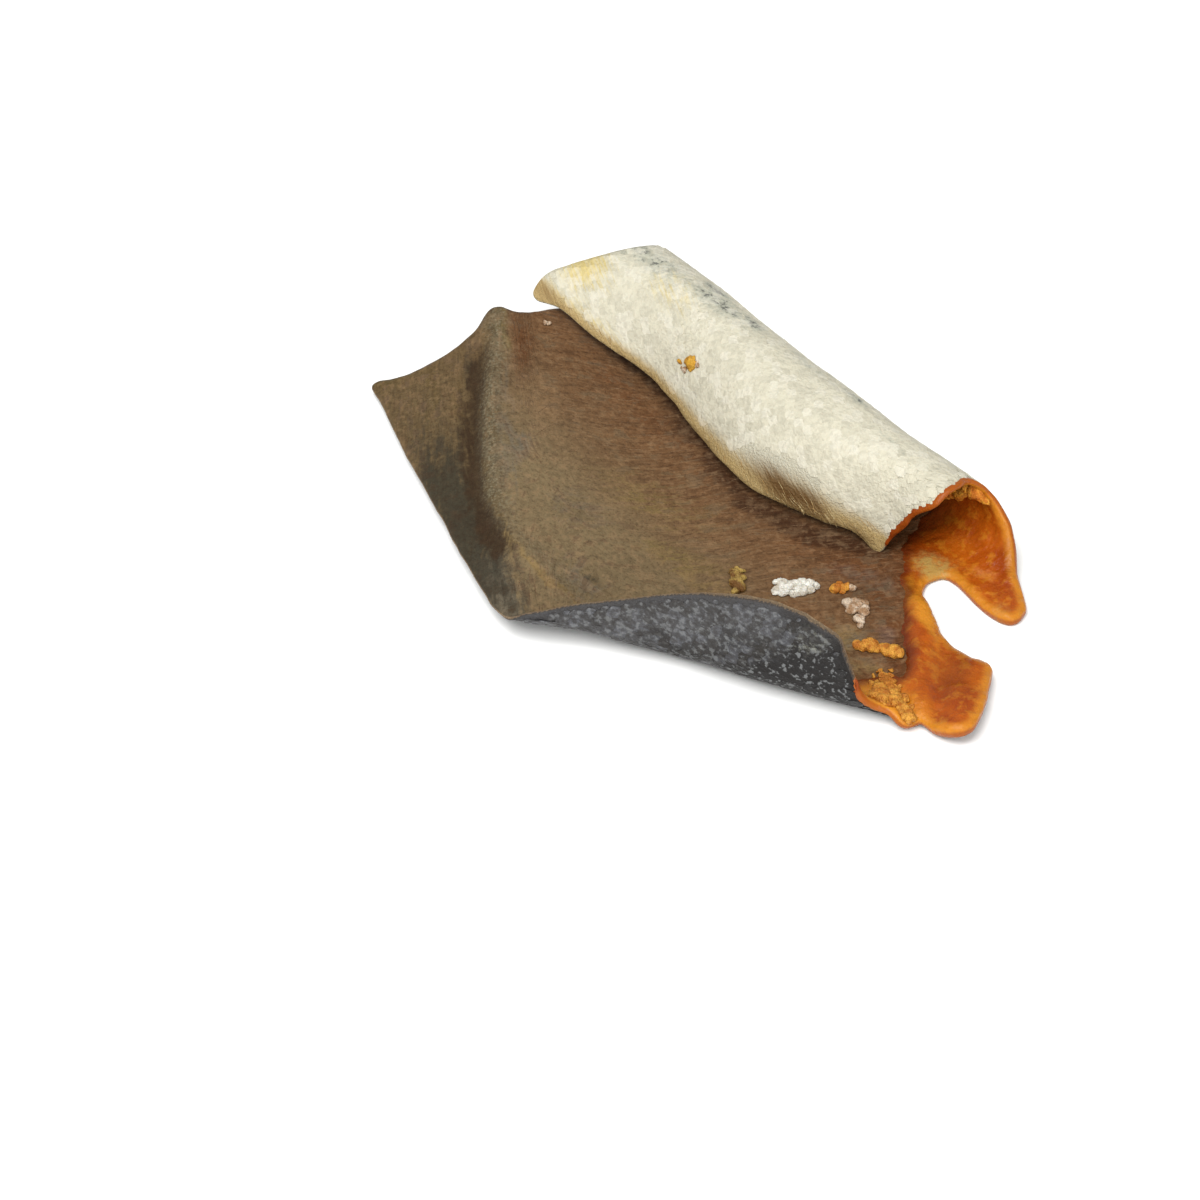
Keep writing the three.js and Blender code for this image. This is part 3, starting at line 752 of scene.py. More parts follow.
class Wiring:
    """Adds nodes to a tree: each call gives the output socket asked for."""

    def __init__(self, tree):
        self.tree = tree

    def feed(self, socket, value):
        if isinstance(value, bpy.types.NodeSocket):
            self.tree.links.new(value, socket)
        elif value is not None:
            socket.default_value = value

    def node(self, kind, inputs=None, **settings):
        node = self.tree.nodes.new(kind)
        for key, value in settings.items():
            setattr(node, key, value)
        for key, value in (inputs or {}).items():
            self.feed(node.inputs[key], value)
        return node

    def made(self, kind, inputs=None, output=0, **settings):
        return self.node(kind, inputs, **settings).outputs[output]

    def attribute(self, name, output="Fac"):
        return self.made("ShaderNodeAttribute", output=output, attribute_name=name)

    def parts(self, vector):
        return self.node("ShaderNodeSeparateXYZ", {"Vector": vector}).outputs

    def combine(self, x, y, z=0.0):
        return self.made("ShaderNodeCombineXYZ", {"X": x, "Y": y, "Z": z})

    def math(self, operation, *values):
        node = self.node("ShaderNodeMath", operation=operation)
        for socket, value in zip(node.inputs, values):
            self.feed(socket, value)
        return node.outputs[0]

    def plus(self, *values):
        return reduce(lambda a, b: self.math("ADD", a, b), values)

    def times(self, *values):
        return reduce(lambda a, b: self.math("MULTIPLY", a, b), values)

    def vector_math(self, operation, a, b=None, scale=None):
        node = self.node("ShaderNodeVectorMath", operation=operation)
        self.feed(node.inputs[0], a)
        self.feed(node.inputs[1], b)
        if scale is not None:
            self.feed(node.inputs["Scale"], scale)
        return node.outputs[0]

    def noise(self, vector, scale, detail=3.0, roughness=0.55):
        inputs = {"Vector": vector, "Scale": scale, "Detail": detail, "Roughness": roughness}
        return self.made("ShaderNodeTexNoise", inputs)

    def reach(self, value, low, high, to_low=0.0, to_high=1.0):
        """A value's smooth way from low to high, as one from to_low to to_high."""
        inputs = {"Value": value, "From Min": low, "From Max": high, "To Min": to_low, "To Max": to_high}
        return self.made("ShaderNodeMapRange", inputs, interpolation_type="SMOOTHSTEP")

    def between(self, at_0, at_1, mask):
        """A value that goes smoothly from at_0 to at_1 as the mask goes from 0 to 1."""
        return self.reach(mask, 0, 1, at_0, at_1)

    def mix(self, factor, a, b):
        node = self.node("ShaderNodeMix", {"Factor": factor}, data_type="RGBA")
        for socket, value in zip([i for i in node.inputs if i.type == "RGBA"], (a, b)):
            self.feed(socket, value)
        return next(o for o in node.outputs if o.type == "RGBA")

    def ramp(self, factor, stops):
        node = self.node("ShaderNodeValToRGB", {"Fac": factor})
        elements = node.color_ramp.elements
        for element, (position, colour) in zip(elements, (stops[0], stops[-1])):
            element.position, element.color = position, colour
        for position, colour in stops[1:-1]:
            elements.new(position).color = colour
        return node.outputs["Color"]

    def group(self, tree, **inputs):
        node = self.node("ShaderNodeGroup", node_tree=tree)
        for key, value in inputs.items():
            self.feed(node.inputs[key.replace("_", " ").title()], value)
        return node.outputs


class Growth(Wiring):
    """Wiring for a Geometry Nodes tree on points that hold a facing, a tail and a girth."""

    def named(self, name, kind="FLOAT_VECTOR"):
        return self.made("GeometryNodeInputNamedAttribute", {"Name": name}, data_type=kind)

    def chance(self, low, high, seed, kind="FLOAT_VECTOR"):
        node = self.node("FunctionNodeRandomValue", {"Seed": seed}, data_type=kind)
        least, most = [socket for socket in node.inputs if socket.enabled][:2]
        self.feed(least, low)
        self.feed(most, high)
        return next(socket for socket in node.outputs if socket.enabled)

    def facing(self):
        """Rotation whose Z looks along the facing and whose X lies as near to the tail as it can."""
        kind = "FunctionNodeAlignRotationToVector"
        first = self.made(kind, {"Vector": self.named("facing")}, axis="Z")
        inputs = {"Rotation": first, "Vector": self.named("tail")}
        return self.made(kind, inputs, axis="X", pivot_axis="Z")

    def turned(self, rotation, euler):
        turn = self.made("FunctionNodeEulerToRotation", {"Euler": euler})
        inputs = {"Rotation": rotation, "Rotate By": turn}
        return self.made("FunctionNodeRotateRotation", inputs, rotation_space="LOCAL")

    def placed(self, points, instance, rotation):
        girth = self.named("girth")
        inputs = {"Points": points, "Instance": instance, "Rotation": rotation, "Scale": girth}
        return self.made("GeometryNodeInstanceOnPoints", inputs)

    def finished(self, geometry, material, result, smooth=True):
        """Ends the tree: real mesh, smooth or faceted, with its material."""
        real = self.made("GeometryNodeRealizeInstances", {"Geometry": geometry})
        shaded = self.made("GeometryNodeSetShadeSmooth", {"Geometry": real, "Shade Smooth": smooth})
        last = self.made("GeometryNodeSetMaterial", {"Geometry": shaded, "Material": material})
        self.feed(result.inputs["Geometry"], last)


GEOMETRY = ("Geometry", "NodeSocketGeometry")


def scale_tree():
    """Thin overlapping plates on points: domed discs, narrower at both ends, lifted at the tail."""
    inputs = (
        (*GEOMETRY, None), ("Length", "NodeSocketFloat", 0.004), ("Width", "NodeSocketFloat", 0.003),
        ("Thickness", "NodeSocketFloat", 0.00016), ("Unevenness", "NodeSocketFloat", 0.05),
        ("Seed", "NodeSocketInt", 3), ("Material", "NodeSocketMaterial", None),
    )
    tree, source, result = new_group("Scales", inputs, (GEOMETRY,), "GeometryNodeTree")
    given = source.outputs
    w = Growth(tree)
    inputs = {"Vertices": 8, "Radius": 0.5, "Depth": 1.0}
    disc = w.made("GeometryNodeMeshCylinder", inputs, fill_type="TRIANGLE_FAN")
    x, y, z = w.parts(w.made("GeometryNodeInputPosition"))
    from_middle = w.math("SQRT", w.plus(w.times(x, x), w.times(y, y)))
    narrow = w.math("SUBTRACT", 1.0, w.times(w.math("ABSOLUTE", x), 0.5))
    crown = w.times(w.math("SUBTRACT", 0.5, from_middle), 0.6)
    high = w.times(w.plus(z, crown), given["Thickness"])
    place = w.combine(w.times(x, given["Length"]), w.times(y, narrow, given["Width"]), high)
    plate = w.made("GeometryNodeSetPosition", {"Geometry": disc, "Position": place})
    lifted = w.turned(w.facing(), w.combine(0.0, w.times(w.named("lift", "FLOAT"), -1.0), 0.0))
    uneven = given["Unevenness"]
    most = w.combine(uneven, uneven, w.times(uneven, 2.0))
    turn = w.chance(w.vector_math("SCALE", most, scale=-1.0), most, given["Seed"])
    laid = w.placed(given["Geometry"], plate, w.turned(lifted, turn))
    w.finished(laid, given["Material"], result, smooth=False)
    return tree


def crumb_tree():
    """Small uneven lumps on points."""
    inputs = (
        (*GEOMETRY, None), ("Detail", "NodeSocketInt", 2), ("Roughness", "NodeSocketFloat", 0.35),
        ("Seed", "NodeSocketInt", 5), ("Material", "NodeSocketMaterial", None),
    )
    tree, source, result = new_group("Crumbs", inputs, (GEOMETRY,), "GeometryNodeTree")
    given = source.outputs
    w = Growth(tree)
    ball = w.made("GeometryNodeMeshIcoSphere", {"Radius": 0.5, "Subdivisions": given["Detail"]})
    laid = w.placed(given["Geometry"], ball, w.facing())
    real = w.made("GeometryNodeRealizeInstances", {"Geometry": laid})
    place = w.made("GeometryNodeInputPosition")
    place = w.vector_math("ADD", place, w.combine(given["Seed"], 0.0, 0.0))
    inputs = {"Vector": place, "Scale": 900.0, "Detail": 2.0}
    wander = w.made("ShaderNodeTexNoise", inputs, output="Color")
    wander = w.vector_math("SCALE", w.vector_math("SUBTRACT", wander, (0.5, 0.5, 0.5)), scale=0.0016)
    offset = w.vector_math("SCALE", wander, scale=given["Roughness"])
    moved = w.made("GeometryNodeSetPosition", {"Geometry": real, "Offset": offset})
    w.finished(moved, given["Material"], result)
    return tree


def strand_tree():
    """Thin strands along lines that hold a girth at each point."""
    inputs = (
        (*GEOMETRY, None), ("Sides", "NodeSocketInt", 4), ("Material", "NodeSocketMaterial", None),
    )
    tree, source, result = new_group("Strands", inputs, (GEOMETRY,), "GeometryNodeTree")
    given = source.outputs
    w = Growth(tree)
    lines = w.made("GeometryNodeMeshToCurve", {"Mesh": given["Geometry"]})
    ring = w.made("GeometryNodeCurvePrimitiveCircle", {"Resolution": given["Sides"], "Radius": 1.0})
    girth = w.named("girth", "FLOAT")
    inputs = {"Curve": lines, "Profile Curve": ring, "Scale": girth, "Fill Caps": True}
    w.finished(w.made("GeometryNodeCurveToMesh", inputs), given["Material"], result)
    return tree


def grow(obj, tree, inputs):
    """Runs a Geometry Nodes tree on an object and keeps the result as its plain mesh."""
    modifier = obj.modifiers.new("grow", "NODES")
    modifier.node_group = tree
    sockets = {item.name: item for item in tree.interface.items_tree if item.in_out == "INPUT"}
    for name, value in inputs.items():
        modifier[sockets[name].identifier] = value
    evaluated = obj.evaluated_get(bpy.context.evaluated_depsgraph_get())
    mesh = bpy.data.meshes.new_from_object(evaluated)
    obj.modifiers.remove(modifier)
    obj.data = mesh
    if not mesh.polygons:
        raise RuntimeError(obj.name + " grew nothing")


def srgb(red, green, blue):
    """Linear colour from 0 to 255 screen values."""
    line = [c / 255 for c in (red, green, blue)]
    return (*(c / 12.92 if c <= 0.04045 else ((c + 0.055) / 1.055) ** 2.4 for c in line), 1.0)


NOISE_SPAN = (0.3, 0.7)  # where nearly all of a noise texture's values lie


def mottling_group():
    """Uneven tone over a surface: broad patches and fine speckle."""
    name = "Mottling"
    if name in bpy.data.node_groups:
        return bpy.data.node_groups[name]
    inputs = (
        ("Patch Size", "NodeSocketFloat", 0.008), ("Speckle Size", "NodeSocketFloat", 0.0006),
    )
    outputs = (("Patches", "NodeSocketFloat"), ("Speckle", "NodeSocketFloat"))
    group, source, result = new_group(name, inputs, outputs)
    w = Wiring(group)
    place = w.made("ShaderNodeTexCoord", output="Object")
    for label, size, detail in (("Patches", "Patch Size", 4.0), ("Speckle", "Speckle Size", 2.0)):
        uneven = w.noise(place, w.math("DIVIDE", 1.0, source.outputs[size]), detail, 0.6)
        w.feed(result.inputs[label], w.reach(uneven, *NOISE_SPAN))
    return group


def fibre_group():
    """Fine threads that run along the lay of the fleshy face."""
    name = "Fibres"
    if name in bpy.data.node_groups:
        return bpy.data.node_groups[name]
    inputs = (("Width", "NodeSocketFloat", 0.35), ("Length", "NodeSocketFloat", 6.0))
    outputs = (("Threads", "NodeSocketFloat"), ("Strands", "NodeSocketFloat"))
    group, source, result = new_group(name, inputs, outputs)
    w = Wiring(group)
    across, along, _ = w.parts(w.attribute("lay", "Vector"))
    for label, coarser in (("Threads", 1.0), ("Strands", 3.2)):
        width, length = (w.times(source.outputs[size], coarser) for size in ("Width", "Length"))
        place = w.combine(w.math("DIVIDE", across, width), w.math("DIVIDE", along, length))
        w.feed(result.inputs[label], w.reach(w.noise(place, 1.0, 3.0, 0.6), *NOISE_SPAN))
    return group


class Paint(Wiring):
    """Wiring for a new material and its Principled shader."""

    def __init__(self, name):
        self.material = bpy.data.materials.new(name)
        self.material.use_nodes = True
        super().__init__(self.material.node_tree)
        self.shader = next(n for n in self.tree.nodes if n.type == "BSDF_PRINCIPLED")

    def mottling(self, patch_size, speckle_size):
        return self.group(mottling_group(), patch_size=patch_size, speckle_size=speckle_size)

    def flat(self):
        """Place on the flat piece in millimetres, and depth from the fleshy to the scaled face."""
        return self.parts(self.attribute("flat", "Vector"))

    def coats(self, tone, *coats):
        """Lays coats over a tone: mask, where it starts and is whole, its share there and its colour."""
        for mask, start, whole, share, colour in coats:
            tone = self.mix(self.reach(mask, start, whole, 0, share), tone, colour)
        return tone

    def finish(self, tone, roughness, height, deep, specular=None, waxy=None):
        """Feeds the shader its colour, roughness and a bump that is deep metres deep.

        waxy is the subsurface weight and its reach in metres for red, green and blue.
        """
        bump = self.made("ShaderNodeBump", {"Height": height, "Distance": deep})
        self.feed(self.shader.inputs["Base Color"], tone)
        self.feed(self.shader.inputs["Roughness"], roughness)
        self.feed(self.shader.inputs["Normal"], bump)
        if specular is not None:
            self.shader.inputs["Specular IOR Level"].default_value = specular
        if waxy:
            self.shader.inputs["Subsurface Weight"].default_value = waxy[0]
            self.shader.inputs["Subsurface Radius"].default_value = waxy[1:]
        return self.material


def fleshy_material(colours):
    """Brown dried inner side: mottling, stains, fine threads, painted shade in the valley, on the lower
    wing and under the roll, and the pale crest, partly painted highlight.
    """
    w = Paint("fleshy side")
    patches, speckle = w.mottling(0.009, 0.0005)
    blotches, grain = w.mottling(0.0026, 0.0011)
    threads, strands = w.group(fibre_group(), width=0.5, length=4.4)
    tone = w.mix(w.attribute("warm"), colours.olive_brown, colours.warm_brown)
    ragged = w.plus(w.between(-0.2, 0.2, blotches), w.reach(strands, 0.2, 0.8, -0.16, 0.16))
    # Of these coats, shade and valley are painted shade and umber is the roll's painted shadow.
    for mask, share, colour in (
        ("olive", 0.8, colours.olive), ("gold", 0.8, colours.gold_brown),
        ("red", 0.75, colours.red_brown), ("violet", 0.6, colours.violet), ("wing", 0.75, colours.wing),
        ("grey", 0.75, colours.grey), ("shade", 0.9, colours.shade), ("valley", 0.9, colours.valley),
        ("umber", 0.75, colours.umber),
    ):
        tone = w.coats(tone, (w.plus(w.attribute(mask), ragged), 0.1, 0.9, share, colour))
    # The pale crest: its own pale tone and painted highlight on the lit side of the crease.
    streak = w.attribute("streak")
    tone = w.mix(w.times(streak, w.reach(blotches, 0.1, 0.7, 0.45, 0.95)), tone, colours.streak)
    tone = w.mix(w.times(streak, w.reach(speckle, 0.6, 0.95, 0, 0.45)), tone, colours.crest_glint)
    tone = w.coats(tone, (w.attribute("border"), 0.1, 1.0, 0.8, colours.red_brown))
    tone = w.coats(tone, (patches, 0, 1, 0.30, w.mix(0.5, tone, colours.thread_dark)))
    tone = w.coats(tone, (grain, 0.5, 0.1, 0.34, w.mix(0.6, tone, colours.thread_dark)))
    dim = w.reach(w.plus(w.attribute("shade"), w.attribute("valley")), 0.05, 0.8, 1.0, 0.12)
    pale = w.times(w.reach(blotches, 0.35, 0.95, 0, 0.42), dim)
    tone = w.mix(pale, tone, w.mix(0.55, tone, colours.thread_light))
    fine = w.plus(w.times(threads, 0.55), w.times(strands, 0.45))
    amount = w.attribute("threaded")
    tone = w.mix(w.times(w.reach(fine, 0.5, 0.15, 0, 0.3), amount), tone, colours.thread_dark)
    tone = w.mix(w.times(w.reach(fine, 0.58, 0.95, 0, 0.24), amount, dim), tone, colours.thread_light)
    tone = w.coats(tone, (speckle, 0.35, 0.0, 0.30, colours.thread_dark))
    tone = w.mix(w.times(w.reach(grain, 0.75, 1.0, 0, 0.22), dim), tone, colours.thread_light)
    height = w.plus(w.times(fine, amount), w.times(grain, 0.5), w.times(speckle, 0.2))
    return w.finish(
        tone, w.between(0.68, 0.5, strands), height, 0.0001,
        specular=0.08, waxy=(0.05, 0.002, 0.001, 0.0006),
    )


RAMP_START = -75.0  # where across the skin the ramp of its outer colours starts, in millimetres
RAMP_RUN = 125.0


def belly_to_back(w, colours):
    """Colour over the scaled side, from the cream belly round the roll to the dark back, with painted
    shade (flank_shade) on the wall's foot and the pan's underside.
    """
    along, across, _ = w.flat()
    place = w.made("ShaderNodeTexCoord", output="Object")
    wander = w.reach(w.noise(place, 110.0), 0.25, 0.75, -4.0, 4.0)
    share = w.math("DIVIDE", w.plus(across, wander, -RAMP_START), RAMP_RUN)
    tone = w.ramp(share, (
        (0.0, colours.back), (0.12, colours.back), (0.17, colours.flank_shade), (0.44, colours.flank_shade),
        (0.53, colours.silver), (0.62, colours.belly_edge), (0.72, colours.belly), (0.95, colours.belly),
    ))
    slant = w.math("SUBTRACT", along, w.times(across, 2.1))
    combed = w.reach(w.noise(w.combine(slant, w.times(across, 0.5)), 1.0), *NOISE_SPAN, -0.5, 0.5)
    specks = w.reach(w.noise(place, 900.0, 3.0, 0.7), *NOISE_SPAN, -0.5, 0.5)
    for mask, rough, uneven, start, whole, colour in (
        ("yellow", combed, 0.5, 0.2, 1.0, colours.yellow),
        ("dusk", specks, 0.5, 0.2, 0.9, colours.haze),
        ("dusk", specks, 0.9, 0.8, 1.3, colours.dusk),
        ("tan", combed, 0.15, 0.1, 0.9, colours.fray),
        # the brown hem, partly painted shade where the roll turns under
        ("brown", combed, 0.22, 0.15, 1.15, colours.tan),
    ):
        mask = w.attribute(mask)
        worn = w.reach(w.math("MULTIPLY_ADD", rough, uneven, mask), start, whole)
        tone = w.mix(w.times(worn, w.reach(mask, 0.02, 0.3)), tone, colour)
    return tone


def dark_share(w):
    """1 on the dark back, 0 on the belly."""
    return w.reach(w.flat()[1], -8.0, -40.0)


def scaled_material(colours):
    """The skin between the scales."""
    w = Paint("scaled side")
    patches, speckle = w.mottling(0.006, 0.0004)
    # Painted shade between the scales: darker towards the pocket colour, more on the back.
    pocket = w.times(w.plus(patches, speckle), w.between(0.1, 0.3, dark_share(w)))
    tone = w.mix(pocket, belly_to_back(w, colours), colours.pocket)
    return w.finish(
        tone, w.between(0.7, 0.55, patches), speckle, 0.00012,
        specular=0.25, waxy=(0.08, 0.002, 0.0015, 0.001),
    )


def cut_material(colours):
    """The cut edge: dark skin line outside, pale dried layers inside."""
    w = Paint("cut edge")
    patches, speckle = w.mottling(0.004, 0.0004)
    depth = w.plus(w.flat()[2], w.between(-0.15, 0.15, speckle))
    tone = w.mix(w.reach(depth, 0.0, 0.35), colours.brown_light, colours.cut_pale)
    tone = w.mix(w.times(patches, 0.4), tone, colours.brown_dark)
    outer = w.mix(dark_share(w), colours.cut_cream, colours.cut_dark)
    tone = w.coats(
        tone, (depth, 0.62, 0.8, 1, outer), (w.attribute("border"), 0.85, 1.0, 1, colours.cut_flesh)
    )
    return w.finish(tone, w.between(0.55, 0.75, speckle), speckle, 0.00015)


def scale_material(colours):
    """Thin glossy scales, each a little different: painted glints on some, painted shade on others."""
    w = Paint("scales")
    patches, speckle = w.mottling(0.007, 0.0009)
    blotches, _ = w.mottling(0.0011, 0.0005)
    tint, back = w.attribute("tint"), dark_share(w)
    # low: the wall's foot, given painted shade and fewer painted glints.
    up_wall = w.plus(w.flat()[1], w.between(-2.5, 2.5, patches))
    low = w.reach(up_wall, -47.5, -51.5, 1.0, 0.0)
    light = w.times(w.reach(blotches, 0.55, 0.95, 0, 0.3), w.between(1.0, 0.2, low), back)
    glint = w.times(
        w.reach(tint, 0.5, 1.0), w.between(0.4, 0.5, back), w.between(1.0, 0.3, w.times(low, back))
    )
    tone = belly_to_back(w, colours)
    # Coats: the glint colour on the lighter scales is painted highlight; the pocket colour on the other
    # scales, in specks and in blotches on the back is painted shade.
    for amount, colour in (
        (glint, w.mix(back, colours.glint, colours.glint_back)),
        (w.times(w.reach(tint, 0.5, 0.0), w.between(0.1, 0.5, back)), colours.pocket),
        (w.times(w.reach(speckle, 0.4, 1.0), w.between(0.12, 0.5, back)), colours.pocket),
        (w.times(w.reach(blotches, 0.55, 0.1, 0, 0.6), back), colours.pocket),
        (light, colours.silver),
        # painted shade low on the wall
        (w.times(w.between(0, 0.85, low), back), colours.flank_shade),
        # silver specks low on the wall: painted glints of scale edges
        (w.times(w.reach(speckle, 0.7, 1.0), back, w.between(0.1, 0.45, low)), colours.silver),
    ):
        tone = w.mix(amount, tone, colour)
    return w.finish(
        tone, w.between(0.5, 0.65, patches), w.plus(speckle, patches), 0.0001,
        specular=0.25, waxy=(0.05, 0.0015, 0.001, 0.0008),
    )


def flesh_material(colours):
    """Orange dried flesh, waxy and a little translucent."""
    w = Paint("orange flesh")
    patches, speckle = w.mottling(0.006, 0.0005)
    blotches, grain = w.mottling(0.0022, 0.0009)
    threads, _ = w.group(fibre_group(), width=0.5, length=3.0)
    blush = w.times(w.attribute("blush"), w.between(0.6, 1.2, grain))
    pale = w.times(w.attribute("pale"), w.between(0.7, 1.2, grain))
    tone = w.coats(
        w.mix(patches, colours.orange_deep, colours.orange),
        # lighter orange near the rim: painted highlight on the tongues' edges
        (w.attribute("edge"), 1.7, 0.1, 0.7, colours.orange_light),
        (blotches, 0.5, 1.0, 0.4, colours.orange_light),
        # painted shade in the roll's hollow, and the lower tongue's darker middle
        (w.attribute("deep"), 0.0, 1.0, 0.9, colours.orange_dark),
        (w.attribute("honey"), 0.1, 1.0, 0.85, colours.orange_light),
        (w.attribute("past"), 4.2, 1.0, 0.85, colours.orange_dark),
        (w.flat()[2], 0.1, 0.5, 0.7, colours.orange_deep),
        (blush, 0.2, 1.0, 0.6, colours.blush),
        (pale, 0.1, 1.0, 0.9, colours.pale_fat),
        (threads, 0.5, 0.1, 0.06, colours.orange_dark),
        (speckle, 0.5, 0.0, 0.1, colours.orange_dark),
    )
    height = w.plus(w.times(blotches, 2.0), w.times(threads, 0.25), w.times(grain, 0.5))
    return w.finish(
        tone, w.between(0.3, 0.42, patches), height, 0.00006,
        specular=0.2, waxy=(0.1, 0.003, 0.0011, 0.0004),
    )


def lump_material(name, light, dark, translucent):
    """Flecks and crumbs: one body colour with darker patches, painted shade of hollows."""
    w = Paint(name)
    patches, speckle = w.mottling(0.0016, 0.0003)
    tone = w.mix(w.reach(patches, 0.1, 0.9), dark, light)
    tone = w.mix(w.times(w.attribute("tint"), 0.5), tone, w.mix(0.5, tone, dark))
    return w.finish(
        tone, w.between(0.4, 0.6, speckle), w.plus(patches, speckle), 0.00015,
        specular=0.25, waxy=(translucent, 0.0015, 0.0009, 0.0005),
    )


# ---- settings ------------------------------------------------------------------------------------


def colour_setting(name, description, *values):
    """A colour property; the values are screen values from 0 to 255."""
    return bpy.props.FloatVectorProperty(
        name=name, description=description, subtype="COLOR", size=4, min=0, max=1, default=srgb(*values)
    )


def length_setting(name, description, millimetres):
    """A length property shown in scene units."""
    return bpy.props.FloatProperty(
        name=name, description=description, subtype="DISTANCE", unit="LENGTH", min=0,
        default=millimetres * MM, precision=5,
    )


def count_setting(name, description, count):
    return bpy.props.IntProperty(name=name, description=description, default=count, min=1)


class SkinSettings(bpy.types.PropertyGroup):
    grid: length_setting("Grid", "Spacing of the skin's mesh", 0.55)
    olive_brown: colour_setting("Olive brown", "Fleshy side away from the roll", 110, 94, 68)
    warm_brown: colour_setting("Warm brown", "Fleshy side near the roll", 104, 75, 49)
    brown_dark: colour_setting("Dark brown", "Dried layers in the cut edge", 80, 58, 40)
    brown_light: colour_setting("Light brown", "Edge of the fleshy side", 140, 116, 84)
    red_brown: colour_setting("Red brown", "Stains beside the roll", 92, 56, 30)
    gold_brown: colour_setting("Golden brown", "Oily patches", 124, 102, 64)
    olive: colour_setting("Olive", "Greenish rim and bands", 108, 94, 46)
    violet: colour_setting("Violet", "Violet-grey film", 104, 84, 74)
    grey: colour_setting("Grey", "Grey film on the fleshy side", 94, 88, 76)
    wing: colour_setting("Wing", "The strip beyond the crease", 86, 69, 44)
    # Colour of the painted shade on the lower wing and beside the roll.
    shade: colour_setting("Shade", "Teal-grey lower wing", 50, 47, 37)
    # Colour of the painted shade in the valley beside the crease.
    valley: colour_setting("Valley", "The dark dip beside the crease", 50, 37, 23)
    # Colour of the roll's painted shadow on the pan.
    umber: colour_setting("Umber", "Shade under the roll's free edge", 44, 24, 14)
    # Colour of the pale crest, partly painted highlight.
    streak: colour_setting("Streak", "The pale crest", 94, 85, 65)
    crest_glint: colour_setting("Crest specks", "Pale specks on the crest", 134, 128, 106)
    thread_dark: colour_setting("Dark threads", "Shade between the fibres", 38, 23, 13)
    thread_light: colour_setting("Light threads", "Lit fibres", 140, 112, 82)
    cut_pale: colour_setting("Pale cut", "Dried layers in the cut edge", 104, 86, 62)
    cut_dark: colour_setting("Dark cut", "Outer line of the cut edge", 50, 44, 40)
    cut_flesh: colour_setting("Orange cut", "The cut edge under the flesh", 176, 90, 20)
    cut_cream: colour_setting("Cream cut", "Outer line of the cut edge on the roll", 170, 158, 124)


class ScaleSettings(bpy.types.PropertyGroup):
    pitch: length_setting("Row pitch", "Distance between rows of scales", 1.35)
    spread: length_setting("Spacing", "Distance between scales in a row", 2.6)
    thickness: length_setting("Thickness", "Thickness of one scale", 0.12)
    back: colour_setting("Back", "Dark side of the skin", 66, 65, 66)
    # Painted shade on the wall's foot and the pan's underside, darker than the back.
    flank_shade: colour_setting("Flank", "Between back and silver side", 23, 20, 19)
    silver: colour_setting("Silver", "Silver side", 140, 142, 142)
    belly_edge: colour_setting("Belly edge", "Between silver and cream", 178, 175, 158)
    belly: colour_setting("Belly", "Cream belly", 190, 185, 165)
    yellow: colour_setting("Yellow", "Yellowed patches of the belly", 190, 172, 112)
    haze: colour_setting("Haze", "Greenish grey tint along the roll", 166, 166, 150)
    dusk: colour_setting("Dusk", "Grey speckles along the roll", 92, 92, 86)
    # Colour of the brown hem, partly painted shade where the roll turns under.
    tan: colour_setting("Tan", "Oily brown hem of the roll", 92, 64, 27)
    fray: colour_setting("Fray", "Golden streaks over the hem", 170, 146, 98)
    pocket: colour_setting("Pocket", "Shade between the scales", 40, 36, 32)
    glint: colour_setting("Glint", "Lighter scales of the belly", 204, 200, 186)
    glint_back: colour_setting("Back glint", "Lighter scales of the back", 90, 91, 96)


class FleshSettings(bpy.types.PropertyGroup):
    grid: length_setting("Grid", "Spacing of the flesh's mesh", 0.42)
    orange: colour_setting("Orange", "Body of the flesh", 168, 83, 8)
    orange_deep: colour_setting("Deep orange", "Darker patches", 138, 57, 7)
    # Light orange, also painted highlight along the tongues' rims.
    orange_light: colour_setting("Light orange", "Rims of the tongues", 192, 126, 34)
    # Dark orange: painted shade in the roll's hollow, also the flesh's border, its threads and specks.
    orange_dark: colour_setting("Dark orange", "Hollow beside the roll", 84, 32, 9)
    blush: colour_setting("Blush", "Pinkish patch", 182, 112, 60)
    pale_fat: colour_setting("Pale fat", "Pale olive fat at the notch", 160, 130, 70)


class FleckSettings(bpy.types.PropertyGroup):
    white: colour_setting("White", "White flecks", 226, 224, 214)
    white_dark: colour_setting("White hollows", "Shade in the white flecks", 180, 170, 152)
    blush: colour_setting("Pinkish", "Pinkish flecks", 208, 190, 168)
    blush_dark: colour_setting("Pinkish hollows", "Shade in the pinkish flecks", 150, 116, 84)
    golden: colour_setting("Golden", "Golden fleck", 168, 140, 74)
    golden_dark: colour_setting("Golden hollows", "Shade in the golden fleck", 104, 70, 30)
    amber: colour_setting("Amber", "Orange flecks and torn strips", 206, 148, 58)
    amber_dark: colour_setting("Amber hollows", "Shade in the orange flecks", 168, 100, 30)
    mustard: colour_setting("Mustard", "Fleck on the roll", 206, 158, 56)
    mustard_dark: colour_setting("Mustard hollows", "Shade in the roll's fleck", 168, 116, 34)
    lip: colour_setting("Lip", "Crumbs of the torn lip", 232, 164, 56)
    lip_dark: colour_setting("Lip hollows", "Shade in the lip's crumbs", 184, 104, 26)
    lip_count: count_setting("Lip crumbs", "Crumbs along the torn lip", 46)
    corner_count: count_setting("Corner crumbs", "Crumbs at the lower corner", 90)


